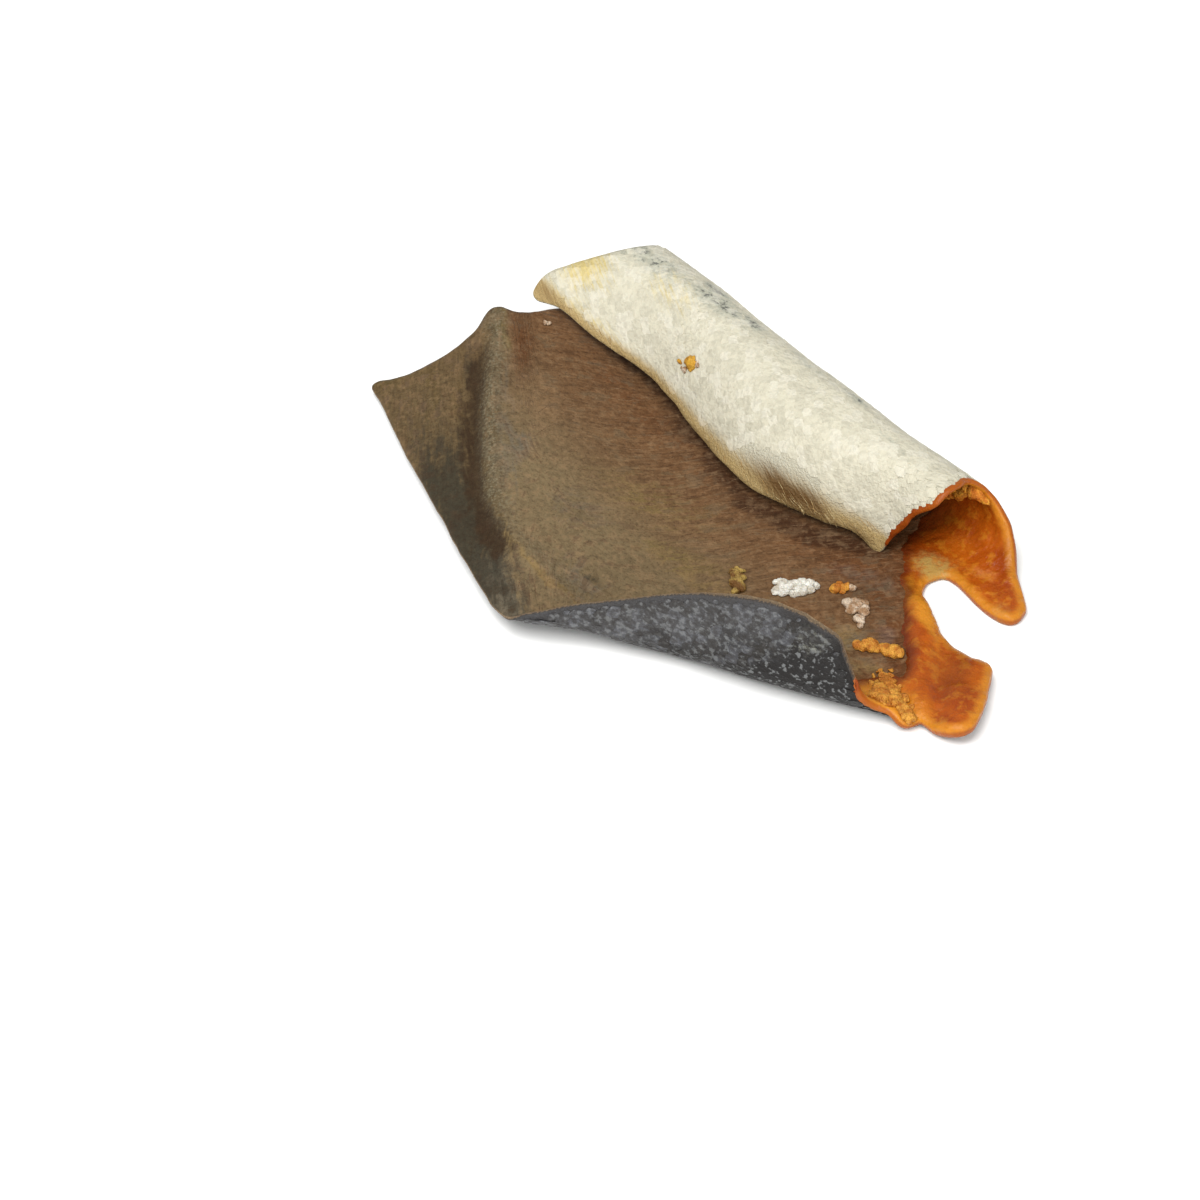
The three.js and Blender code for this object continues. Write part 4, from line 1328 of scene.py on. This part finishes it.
class FibreSettings(bpy.types.PropertyGroup):
    count: count_setting("Fibres", "Fibres on the fleshy side", 260)
    fray_count: count_setting("Frays", "Frays on the roll's edge", 150)
    light: colour_setting("Light", "Lit fibres", 138, 110, 80)
    dark: colour_setting("Dark", "Darker fibres", 92, 66, 44)
    fray_light: colour_setting("Fray light", "Pale frays", 198, 178, 132)
    fray_dark: colour_setting("Fray dark", "Tan frays", 160, 128, 80)


class StageSettings(bpy.types.PropertyGroup):
    floor: colour_setting("Floor", "Colour of the floor", 244, 244, 242)
    sky: bpy.props.FloatProperty(name="Sky", description="Strength of the white surround", default=0.5)
    key: bpy.props.FloatProperty(
        name="Key", description="Power of the main light", subtype="POWER", unit="POWER", default=8
    )


# ---- operators, with sizes in millimetres --------------------------------------------------------

SKIN_ROWS = (0.2, 0.5, 0.8)  # rows of a rim, from the upper face's border to the lower one's
FLESH_ROWS = (0.25, 0.5, 0.75)
SKIN_BULGE = 0.12
FLESH_BULGE = 0.2
FLESH_SWELL = 0.15
SKIN_ROUND = 0.35  # how far the faces fall off towards the rim, and over what distance
FLESH_ROUND = 0.4
UNDER_ROUND = 0.12  # how far the skin's lower face rises there, and the flesh's falls
LEFT_OVER_FLESH = 0.42  # thickness of the skin under the orange flesh
FLESH_LAP = 0.6  # how far the flesh laps over its border
FLESH_FULL = 1.6  # over what distance it comes to its full height
FLESH_RISE = 0.42  # how far it rises from there
FLESH_BITE = 0.12  # how far its underside reaches into the skin
FLESH_LUMPS = 0.16  # height of its lumps and of the finer grain on them
FLESH_GRAIN = 0.06
BORDER_WIDTH = 1.2  # of the strip along its border that reaches no deeper than BORDER_DEPTH
BORDER_DEPTH = 0.9
FLESH_SUNK = 0.3  # how far its border lies under the fleshy face
FLESH_LEAST = 0.15  # least and most thickness of the flesh
FLESH_MOST = 3.0
SKIN_LEAST = 0.35
DRAWN_IN = 0.3  # how far the skin's rim stays back under the flesh
BELLY_FINER = 0.88  # size of the belly's scales against the back's
SCALE_ROOM = 0.26  # room left for the scales under the outer face


def face_height(flat, at, side):
    """Height of a face over the middle of the skin: the fleshy one for side 1, the scaled for -1."""
    return np.where(side > 0, HALF + at.extra + fleshy_relief(flat), SCALE_ROOM - HALF)


def sheet(flat, at, heights, rows, bulge, swell, masks):
    """Closed shell between two heights, with flat place, lay and masks at each vertex."""
    lean = sway(flat.points)
    top, under = (level(at, height + lean) for height in heights)
    vertices, triangles, source, depth = closed_shell(flat, top, under, rows, bulge, swell)
    values = {
        "flat": np.column_stack((flat.points[source], depth)),
        "lay": fibre_lay(flat.points)[source],
        **{label: mask[source] for label, mask in masks.items()},
    }
    return vertices, triangles, values


class MakeSkin(bpy.types.Operator):
    """Makes the bent skin with its fleshy side, its cut edge and its scaled side"""

    bl_idname = "salmon_skin.make_skin"
    bl_label = "Make the skin"

    def execute(self, context):
        settings = context.scene.salmon_skin_skin
        flat = flat_mesh(flat_outline(), settings.grid / MM)
        at = surface(flat.points)
        past = flesh_share(flat.points)
        near_rim = np.exp(-flat.edge / SKIN_ROUND)
        under = SCALE_ROOM - HALF + UNDER_ROUND * near_rim
        top = face_height(flat.points, at, 1)
        top += (LEFT_OVER_FLESH - HALF - top) * onset(past, 0.7, 0.8)
        top = np.maximum(top - SKIN_ROUND * near_rim, under + SKIN_LEAST)
        drawn_in = -DRAWN_IN * onset(past, 0, 0.6)
        masks = {**stain_values(flat.points), **outer_values(flat.points)}
        vertices, triangles, values = sheet(
            flat, at, (top, under), SKIN_ROWS, SKIN_BULGE, drawn_in, masks
        )
        faces = len(flat.triangles)
        material = np.ones(len(triangles))
        material[:faces], material[faces:2 * faces] = 0, 2
        materials = (
            fleshy_material(settings), cut_material(settings),
            scaled_material(context.scene.salmon_skin_scales),
        )
        skin = make_object("skin", Piece(vertices, triangles, material, values), materials)
        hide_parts(NODE)
        settle(skin, "skin")
        return {"FINISHED"}


class MakeFlesh(bpy.types.Operator):
    """Makes the orange flesh that lies on the skin at its ragged end"""

    bl_idname = "salmon_skin.make_flesh"
    bl_label = "Make the flesh"

    def execute(self, context):
        settings = context.scene.salmon_skin_flesh
        on_flesh = lambda x, s: flesh_share(np.array((x.flat, s.flat)).T).reshape(x.shape) > -FLESH_LAP
        flat = flat_mesh(flat_outline(), settings.grid / MM, on_flesh)
        at = surface(flat.points)
        past = flesh_share(flat.points)
        near_rim = np.exp(-flat.edge / FLESH_ROUND)
        face = face_height(flat.points, at, 1)
        grain = Grain(FLESH_SEED)
        lumps = FLESH_LUMPS * grain.rough(*flat.points.T, 3.0)
        lumps += FLESH_GRAIN * np.abs(grain.rough(*flat.points.T, 1.6, 2))
        top = face - FLESH_SUNK + onset(past, -FLESH_LAP, FLESH_FULL) * (FLESH_RISE + lumps)
        top -= FLESH_ROUND * near_rim
        under = np.maximum(LEFT_OVER_FLESH - HALF - FLESH_BITE, top - FLESH_MOST)
        under = np.where(past < BORDER_WIDTH, np.maximum(under, face - BORDER_DEPTH), under)
        under -= UNDER_ROUND * near_rim
        top = np.maximum(top, under + FLESH_LEAST)
        masks = {**stain_values(flat.points), "edge": flat.edge, "past": past}
        masks = {label: masks[label] for label in ("pale", "blush", "deep", "honey", "edge", "past")}
        vertices, triangles, values = sheet(
            flat, at, (top, under), FLESH_ROWS, FLESH_BULGE, FLESH_SWELL, masks
        )
        piece = Piece(vertices, triangles, np.zeros(len(triangles)), values)
        settle(make_object("flesh", piece, (flesh_material(settings),)), "flesh")
        return {"FINISHED"}


def within(outline, points):
    """Whether each point is inside the closed outline."""
    return np.array([inside(outline, (x,), (s,))[0, 0] for x, s in points])


def tangent(flat, heading, step=0.1):
    """Direction in space of a heading on the flat piece, in radians from x towards s."""
    x, s = flat.T
    dx, ds = step * np.cos(heading), step * np.sin(heading)
    run = bend(x + dx, s + ds) - bend(x - dx, s - ds)
    return run / np.maximum(np.linalg.norm(run, axis=1, keepdims=True), 1e-9)


def drape(mesh, flat):
    """Gives every vertex of the plates its own flat place and stains, and keeps it above the floor."""
    places = np.empty(len(mesh.vertices) * 3, np.float32)
    mesh.vertices.foreach_get("co", places)
    places = places.reshape(len(flat), -1, 3)
    places[:, :, 2] = np.maximum(places[:, :, 2], 0)
    mesh.vertices.foreach_set("co", places.ravel())
    off = places - places.mean(axis=1, keepdims=True)
    zero = np.zeros(len(flat))
    axes = [tangent(flat, zero + turn) for turn in (0, math.pi / 2)]
    shifts = [np.einsum("nvk,nk->nv", off, axis) / MM for axis in axes]
    own = (flat[:, None] + np.stack(shifts, axis=2)).reshape(-1, 2)
    own_flat = np.column_stack((own, np.zeros(len(own)))).astype(np.float32)
    mesh.attributes["flat"].data.foreach_set("vector", own_flat.ravel())
    for label, mask in outer_values(own).items():
        layer = mesh.attributes.new(label, "FLOAT", "POINT")
        layer.data.foreach_set("value", mask.astype(np.float32))


SCALE_LENGTH = 2.5  # against the pitch of the rows
SCALE_WIDTH = 0.95  # against the spacing in a row
SCALE_JITTER = 0.08
SCALE_SIZES = (0.92, 1.06)
SCALE_LEAST = 0.25  # size of the smallest scales, near the outline
SCALE_LIFT = 0.026  # radians that a scale's tail stands up, and how much more on the back
BACK_LIFT = 0.024
LIFT_JITTER = 0.01
TAIL_JITTER = 0.05
BELLY_THICKNESS = 0.8  # of a scale on the belly, and how much more on the back
BACK_THICKER = 0.4
SCALE_SUNK = 0.02
SCALE_UNEVENNESS = 0.02  # radians
RIM_ROOM = 0.3  # no scale comes nearer to the outline
BARE_TAN = 0.55  # from how much of the tan and the brown stains there are no scales
BARE_BROWN = 0.12


def scale_places(settings, rng):
    """Flat places of the scales in staggered rows, how fine each is, and the share its room allows."""
    rows = []
    for low, high, finer in ((FLAT_LOW[1], 0.0, 1.0), (0.0, FLAT_HIGH[1], BELLY_FINER)):
        pitch, spacing = settings.pitch / MM * finer, settings.spread / MM * finer
        for k, x in enumerate(np.arange(FLAT_LOW[0], FLAT_HIGH[0], pitch)):
            along = np.arange(low + k % 2 * spacing / 2, high, spacing)
            rows.append(np.column_stack((np.full(len(along), x), along, np.full(len(along), finer))))
    rows = np.vstack(rows)
    rows[:, :2] += rng.normal(0, SCALE_JITTER, (len(rows), 2))
    outline = flat_outline()
    rows = rows[within(outline, rows[:, :2])]
    flat, finer = rows[:, :2], rows[:, 2]
    room = nearest(outline, flat)[1] - RIM_ROOM
    half = SCALE_LENGTH / 2 * settings.pitch / MM * finer
    stains = outer_values(flat)
    held = (room > SCALE_LEAST * half) & (stains["tan"] < BARE_TAN) & (stains["brown"] < BARE_BROWN)
    return flat[held], finer[held], np.clip(room / half, SCALE_LEAST, 1)[held]


class MakeScales(bpy.types.Operator):
    """Makes the overlapping scales of the outer side"""

    bl_idname = "salmon_skin.make_scales"
    bl_label = "Make the scales"

    def execute(self, context):
        settings = context.scene.salmon_skin_scales
        rng = np.random.default_rng(SCALE_SEED)
        flat, finer, share = scale_places(settings, rng)
        at = surface(flat)
        count = len(flat)
        on_back = onset(-flat[:, 1], 5, 35)
        base = level(at, face_height(flat, at, -1) + sway(flat) - SCALE_SUNK)
        fit = share * finer * rng.uniform(*SCALE_SIZES, count)
        heading = np.full(count, math.pi) + rng.normal(0, TAIL_JITTER, count)
        lift = SCALE_LIFT + BACK_LIFT * on_back + rng.uniform(-LIFT_JITTER, LIFT_JITTER, count)
        values = {
            "flat": np.column_stack((flat, np.zeros(count))),
            "facing": -at.normal,
            "tail": tangent(flat, heading),
            "lift": lift,
            "girth": np.column_stack((fit, fit, BELLY_THICKNESS + BACK_THICKER * on_back)),
            "tint": rng.uniform(0, 1, count),
        }
        scales = make_object("scales", Piece(base, *NO_FACES, values), ())
        grow(scales, scale_tree(), {
            "Length": SCALE_LENGTH * settings.pitch, "Width": SCALE_WIDTH * settings.spread,
            "Thickness": settings.thickness, "Unevenness": SCALE_UNEVENNESS,
            "Material": scale_material(settings),
        })
        drape(scales.data, flat)
        settle(scales, "scales")
        return {"FINISHED"}


# Clusters of lumps by kind: middle on the flat piece, length, width, turn in degrees, count and size.
Cluster = namedtuple("Cluster", "x s long wide turn count size")
CLUSTERS = {
    "white": ((-6.4, -25.4, 7.8, 3.8, 62, 44, 1.9), (-8.4, -26.8, 3.4, 2.2, 40, 8, 1.6)),
    "blush": (
        (4.0, -20.8, 4.2, 3.0, 20, 26, 2.1), (7.0, -23.0, 3.2, 1.4, -40, 7, 1.5),
        (-0.6, -18.0, 1.6, 1.0, 60, 3, 1.2), (-85.3, -19.4, 1.6, 0.8, 60, 4, 1.2),
    ),
    "golden": ((-13.4, -32.2, 6.0, 1.7, -34, 20, 2.1), (-15.9, -30.4, 2.4, 1.0, 60, 6, 1.4)),
    "amber": (
        (-1.8, -19.8, 3.2, 2.4, 60, 15, 1.8), (13.4, -26.2, 4.2, 1.4, 38, 24, 2.3),
        (16.6, -24.0, 4.4, 1.4, 28, 26, 2.3), (22.0, -30.0, 4.0, 2.6, 10, 9, 1.8),
        (25.0, -32.6, 7.6, 5.0, -40, 34, 2.8), (29.4, -33.4, 3.6, 2.8, 20, 12, 2.3),
    ),
    "mustard": ((-56.4, 35.2, 2.6, 1.5, 20, 20, 1.7), (-59.0, 36.3, 1.0, 0.4, 0, 3, 0.9)),
    "pearl": ((-54.6, 34.6, 1.2, 0.8, 40, 5, 0.9), (-57.4, 37.0, 1.6, 0.6, 0, 5, 0.9)),
}
ON_SCALES = ("mustard", "pearl")
LIP = ((-6, 9), (-4.4, 12), (-1, 15), (2, 16.6), (5, 15.4))
CORNER = ((19, -27.5), (21.5, -30), (24.5, -31.5), (28, -31.5), (28.5, -34), (26.5, -35.5))
CRUMB_SCATTER = 1.0
LUMP_DETAIL = 2
LUMP_SIZES = (0.7, 1.15)
LUMP_FLATNESS = (1, 1, 0.75)
CLUSTER_SIZES = (0.7, 1.1)
CLUSTER_MIDDLE = 1.15  # size of a lump in the middle of its cluster, and how fast it falls outwards
CLUSTER_FALL = 0.8
LUMP_STANDS_OUT = 0.3  # how high a lump's middle lies over the face, against its height
CLUSTER_ROUGHNESS = 0.65
CRUMB_ROUGHNESS = 0.9


def grow_lumps(name, flat, size, side, slot, material, rng, roughness):
    """One piece of lumps at flat points of the fleshy face (side 1) or the scaled one (-1)."""
    girth = size[:, None] * rng.uniform(*LUMP_SIZES, (len(flat), 3)) * LUMP_FLATNESS
    at = surface(flat)
    values = {
        "girth": girth * MM,
        "tail": tangent(flat, rng.uniform(0, math.pi, len(flat))),
        "tint": rng.uniform(0, 1, len(flat)),
        "facing": at.normal * side,
    }
    base = level(at, face_height(flat, at, side) + side * girth[:, 2] * LUMP_STANDS_OUT + sway(flat))
    obj = make_object(name, Piece(base, *NO_FACES, values), ())
    grow(obj, crumb_tree(), {"Detail": LUMP_DETAIL, "Roughness": roughness, "Material": material})
    settle(obj, slot)


def grow_clusters(name, kind, slot, material, seed):
    """One piece of the clusters of a kind."""
    rng = np.random.default_rng(seed)
    flat, size = [], []
    for cluster in starmap(Cluster, CLUSTERS[kind]):
        reach = np.sqrt(rng.uniform(0, 1, cluster.count)) / 2
        bearing = rng.uniform(0, math.tau, cluster.count)
        along, across = reach * np.cos(bearing) * cluster.long, reach * np.sin(bearing) * cluster.wide
        turn = math.radians(cluster.turn)
        x = cluster.x + along * math.cos(turn) - across * math.sin(turn)
        s = cluster.s + along * math.sin(turn) + across * math.cos(turn)
        flat.append(np.column_stack((x, s)))
        smaller_outside = CLUSTER_MIDDLE - CLUSTER_FALL * reach
        size.append(cluster.size * smaller_outside * rng.uniform(*CLUSTER_SIZES, cluster.count))
    side = -1.0 if kind in ON_SCALES else 1.0
    grow_lumps(
        name, np.vstack(flat), np.concatenate(size), side, slot, material, rng, CLUSTER_ROUGHNESS
    )


class MakeFlecks(bpy.types.Operator):
    """Makes the white, golden and orange flecks that stick to the skin"""

    bl_idname = "salmon_skin.make_flecks"
    bl_label = "Make the flecks"

    def execute(self, context):
        colours = context.scene.salmon_skin_flecks
        materials = {}
        for tone, name, translucent in (
            ("white", "white flecks", 0.1), ("blush", "pinkish flecks", 0.1),
            ("golden", "golden flecks", 0.1), ("amber", "amber flecks", 0.15),
            ("mustard", "mustard fleck", 0.1),
        ):
            light, dark = getattr(colours, tone), getattr(colours, tone + "_dark")
            materials[tone] = lump_material(name, light, dark, translucent)
        for name, kind, tone, slot, seed in (
            ("white_flecks", "white", "white", "fat", 3),
            ("pinkish_flecks", "blush", "blush", "fat", 4),
            ("pearl_flecks", "pearl", "blush", "fat", 5),
            ("golden_flecks", "golden", "golden", "fat", 6),
            ("amber_flecks", "amber", "amber", "flesh", 7),
            ("mustard_fleck", "mustard", "mustard", "flesh", 8),
        ):
            grow_clusters(name, kind, slot, materials[tone], seed)
        return {"FINISHED"}


class MakeCrumbs(bpy.types.Operator):
    """Makes the crumbs along the roll's torn lip and at the lower corner"""

    bl_idname = "salmon_skin.make_crumbs"
    bl_label = "Make the crumbs"

    def execute(self, context):
        colours = context.scene.salmon_skin_flecks
        lip_tones = (colours.lip, colours.lip_dark)
        corner_tones = (colours.amber, colours.amber_dark)
        rng = np.random.default_rng(CRUMB_SEED)
        outline = flat_outline()
        for name, path, count, sizes, tones in (
            ("lip_crumbs", LIP, colours.lip_count, (0.8, 3.0), lip_tones),
            ("corner_crumbs", CORNER, colours.corner_count, (0.5, 1.5), corner_tones),
        ):
            path = np.array(path, float)
            along = rng.uniform(0, len(path) - 1, count)
            i = along.astype(int)
            flat = path[i] + (path[i + 1] - path[i]) * (along - i)[:, None]
            flat += rng.normal(0, CRUMB_SCATTER, (count, 2))
            flat = flat[within(outline, flat)]
            size = rng.uniform(*sizes, len(flat))
            material = lump_material(name.replace("_", " "), *tones, 0.1)
            grow_lumps(name, flat, size, 1.0, "flesh", material, rng, CRUMB_ROUGHNESS)
        return {"FINISHED"}


CREASE_HEADING = 146  # degrees from x towards s
PAN_HEADING = 68
PAN_SWING = 14
STRAND_POINTS = 6
STRAND_SIDES = 4
FIBRE_FIELD = ((-95, -64), (18, -4))  # flat corners of the part with fibres
FIBRE_TRIES = 5  # places drawn for each fibre that is kept
FIBRE_ROOM = 3.5
FIBRE_FROM_FLESH = 3
FRAY_HEADING = math.radians(28)
STRAND_BOW = 0.8  # how much lower a strand lies at its ends, and how much thinner it is
STRAND_TAPER = 0.75
STRAND_CURL = 0.25  # radians that a strand turns from end to end


def strand_lines(flat, heading, length, girth, side, height):
    """Lines from flat points along headings: places, edges and a girth that thins to both ends."""
    places, girths = [], []
    for share in np.linspace(-0.5, 0.5, STRAND_POINTS):
        bent = heading + share * STRAND_CURL * np.sign(np.sin(flat[:, 0] * 7))
        at_flat = flat + np.column_stack((np.cos(bent), np.sin(bent))) * (length * share)[:, None]
        at = surface(at_flat)
        bow = height * (1 - STRAND_BOW * (2 * share) ** 2)
        places.append(level(at, face_height(at_flat, at, side) + side * bow + sway(at_flat)))
        girths.append(girth * (1 - STRAND_TAPER * abs(2 * share)))
    start = np.arange(len(flat))[:, None] * STRAND_POINTS + np.arange(STRAND_POINTS - 1)[None]
    edges = np.column_stack((start.ravel(), start.ravel() + 1)).tolist()
    return np.stack(places, axis=1).reshape(-1, 3), edges, np.stack(girths, axis=1).ravel()


def heading_at(flat):
    """Heading of the fibres: along the crease beside it, then turning to run off from the roll."""
    turned, _ = pan_turn(flat, *HEADING_TURN)
    on_pan = PAN_HEADING - PAN_SWING * onset(flat[:, 0], -60, 50)
    return np.radians(CREASE_HEADING * (1 - turned) + on_pan * turned)


class MakeFibres(bpy.types.Operator):
    """Makes the fine fibres of the fleshy side and the frayed edge of the roll"""

    bl_idname = "salmon_skin.make_fibres"
    bl_label = "Make the fibres"

    def execute(self, context):
        colours = context.scene.salmon_skin_fibres
        rng = np.random.default_rng(FIBRE_SEED)
        outline = flat_outline()
        flat = rng.uniform(*FIBRE_FIELD, (colours.count * FIBRE_TRIES, 2))
        flat = flat[within(outline, flat)]
        stains = stain_values(flat)
        wanted = stains["threaded"] > rng.uniform(0, 1.4, len(flat))
        inland = nearest(outline, flat)[1] > FIBRE_ROOM
        clear = inland & (flesh_share(flat) < -FIBRE_FROM_FLESH) & (stains["wing"] < 0.2)
        flat = flat[wanted & clear][:colours.count]
        heading = heading_at(flat) + rng.normal(0, 0.10, len(flat))
        length = rng.uniform(2.5, 7.0, len(flat))
        girth = rng.uniform(0.03, 0.07, len(flat))
        strands = (flat, heading, length, girth, 1, 0.015)
        self.lay("fibres", rng, strands, (colours.light, colours.dark))

        span = rng.uniform(-90, -6, colours.fray_count)
        length = rng.uniform(0.8, 3.4, len(span))
        in_from_edge = length * rng.uniform(0.32, 0.9, len(span))
        flat = np.column_stack((span, roll_length(span) - in_from_edge))
        heading = rng.normal(FRAY_HEADING, 0.25, len(span))
        girth = rng.uniform(0.03, 0.08, len(span))
        strands = (flat, heading, length, girth, -1, 0.05)
        self.lay("frays", rng, strands, (colours.fray_light, colours.fray_dark))
        return {"FINISHED"}

    def lay(self, name, rng, strands, tones):
        places, edges, girths = strand_lines(*strands)
        tint = np.repeat(rng.uniform(0, 1, len(strands[0])), STRAND_POINTS)
        values = {"girth": girths * MM, "tint": tint}
        obj = make_object(name, Piece(places, *NO_FACES, values), (), edges)
        material = lump_material(name, *tones, 0.05)
        grow(obj, strand_tree(), {"Sides": STRAND_SIDES, "Material": material})
        settle(obj, "skin")


CAMERA_TURN = 51.0  # degrees round the piece
CAMERA_RISE = 40.0  # degrees over the floor
CAMERA_DISTANCE = 0.7
CAMERA_LENS = 126.0
CAMERA_SENSOR = 36
CAMERA_TARGET = (0.01333, -0.00934, 0.0)
CAMERA_MIDDLE = 1 / 12  # how far the picture's middle lies left of the target, as a share of its width
FLOOR_HALF = 2
FILL_SHARE = 0.32  # power of the fill light against the key


class MakeStage(bpy.types.Operator):
    """Makes the pale floor, the lights and the camera"""

    bl_idname = "salmon_skin.make_stage"
    bl_label = "Make the stage"

    def execute(self, context):
        settings = context.scene.salmon_skin_stage
        scene = context.scene
        mesh = bpy.data.meshes.new("floor")
        half = FLOOR_HALF
        corners = ((-half, -half, 0), (half, -half, 0), (half, half, 0), (-half, half, 0))
        mesh.from_pydata(corners, [], [(0, 1, 2, 3)])
        w = Paint("floor")
        patches, _ = w.mottling(0.05, 0.001)
        tone = w.mix(w.times(patches, 0.2), settings.floor, (1, 1, 1, 1))
        w.feed(w.shader.inputs["Base Color"], tone)
        w.shader.inputs["Roughness"].default_value = 0.9
        mesh.materials.append(w.material)
        floor = bpy.data.objects.new("floor", mesh)
        scene.collection.objects.link(floor)
        floor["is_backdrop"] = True

        world = bpy.data.worlds.new("surround")
        world.use_nodes = True
        backdrop = next(n for n in world.node_tree.nodes if n.type == "BACKGROUND")
        backdrop.inputs["Color"].default_value = (1, 1, 1, 1)
        backdrop.inputs["Strength"].default_value = settings.sky
        scene.world = world

        for name, place, size, power in (
            ("key", (0.1, -0.35, 0.75), 0.6, settings.key),
            ("fill", (0.6, -0.25, 0.35), 0.5, settings.key * FILL_SHARE),
        ):
            light = bpy.data.lights.new(name, "AREA")
            light.size = size
            light.energy = power
            lamp = bpy.data.objects.new(name, light)
            lamp.location = place
            lamp.rotation_euler = (-Vector(place)).to_track_quat("-Z", "Y").to_euler()
            scene.collection.objects.link(lamp)

        turn, rise = math.radians(CAMERA_TURN), math.radians(CAMERA_RISE)
        out = math.cos(rise)
        back = Vector((math.sin(turn) * out, -math.cos(turn) * out, math.sin(rise)))
        right = Vector((math.cos(turn), math.sin(turn), 0))
        up = back.cross(right)
        place = Vector(CAMERA_TARGET) + back * CAMERA_DISTANCE
        back = (back * CAMERA_LENS / CAMERA_SENSOR + right * CAMERA_MIDDLE).normalized()
        right = up.cross(back)
        camera = bpy.data.objects.new("camera", bpy.data.cameras.new("camera"))
        camera.data.lens = CAMERA_LENS
        camera.data.sensor_width = CAMERA_SENSOR
        camera.data.clip_start = 0.01
        aim = Matrix((right, up, back)).transposed().to_4x4()
        camera.matrix_world = Matrix.Translation(place) @ aim
        scene.collection.objects.link(camera)
        scene.camera = camera
        scene.view_settings.view_transform = "Standard"
        return {"FINISHED"}


class SalmonSkinPanel(bpy.types.Panel):
    """Lists the pieces and their settings"""

    bl_idname = "VIEW3D_PT_salmon_skin"
    bl_label = "Salmon skin"
    bl_space_type = "VIEW_3D"
    bl_region_type = "UI"
    bl_category = "Salmon skin"

    def draw(self, context):
        for label, operators, settings in STEPS:
            box = self.layout.box()
            box.label(text=label)
            group = getattr(context.scene, settings)
            for name in group.__annotations__:
                box.prop(group, name)
            for operator in operators:
                box.operator(operator.bl_idname)


STEPS = (
    ("Stage", (MakeStage,), "salmon_skin_stage"),
    ("Skin", (MakeSkin,), "salmon_skin_skin"),
    ("Scales", (MakeScales,), "salmon_skin_scales"),
    ("Flesh", (MakeFlesh,), "salmon_skin_flesh"),
    ("Flecks and crumbs", (MakeFlecks, MakeCrumbs), "salmon_skin_flecks"),
    ("Fibres", (MakeFibres,), "salmon_skin_fibres"),
)
SETTINGS = {
    "salmon_skin_skin": SkinSettings,
    "salmon_skin_scales": ScaleSettings,
    "salmon_skin_flesh": FleshSettings,
    "salmon_skin_flecks": FleckSettings,
    "salmon_skin_fibres": FibreSettings,
    "salmon_skin_stage": StageSettings,
}
OPERATORS = tuple(operator for _, operators, _ in STEPS for operator in operators)


def register():
    for kind in (*SETTINGS.values(), *OPERATORS, SalmonSkinPanel):
        bpy.utils.register_class(kind)
    for name, kind in SETTINGS.items():
        setattr(bpy.types.Scene, name, bpy.props.PointerProperty(type=kind))


def unregister():
    for name in SETTINGS:
        delattr(bpy.types.Scene, name)
    for kind in (SalmonSkinPanel, *reversed(OPERATORS), *SETTINGS.values()):
        bpy.utils.unregister_class(kind)


def main():
    """Makes every piece in order."""
    register()
    for operator in OPERATORS:
        group, name = operator.bl_idname.split(".")
        getattr(getattr(bpy.ops, group), name)()
    boxes = {"cad": CAD_BOX, "visual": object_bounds()}
    {key: [list(corner) for corner in box] for key, box in boxes.items()}


if __name__ == "__main__":
    main()
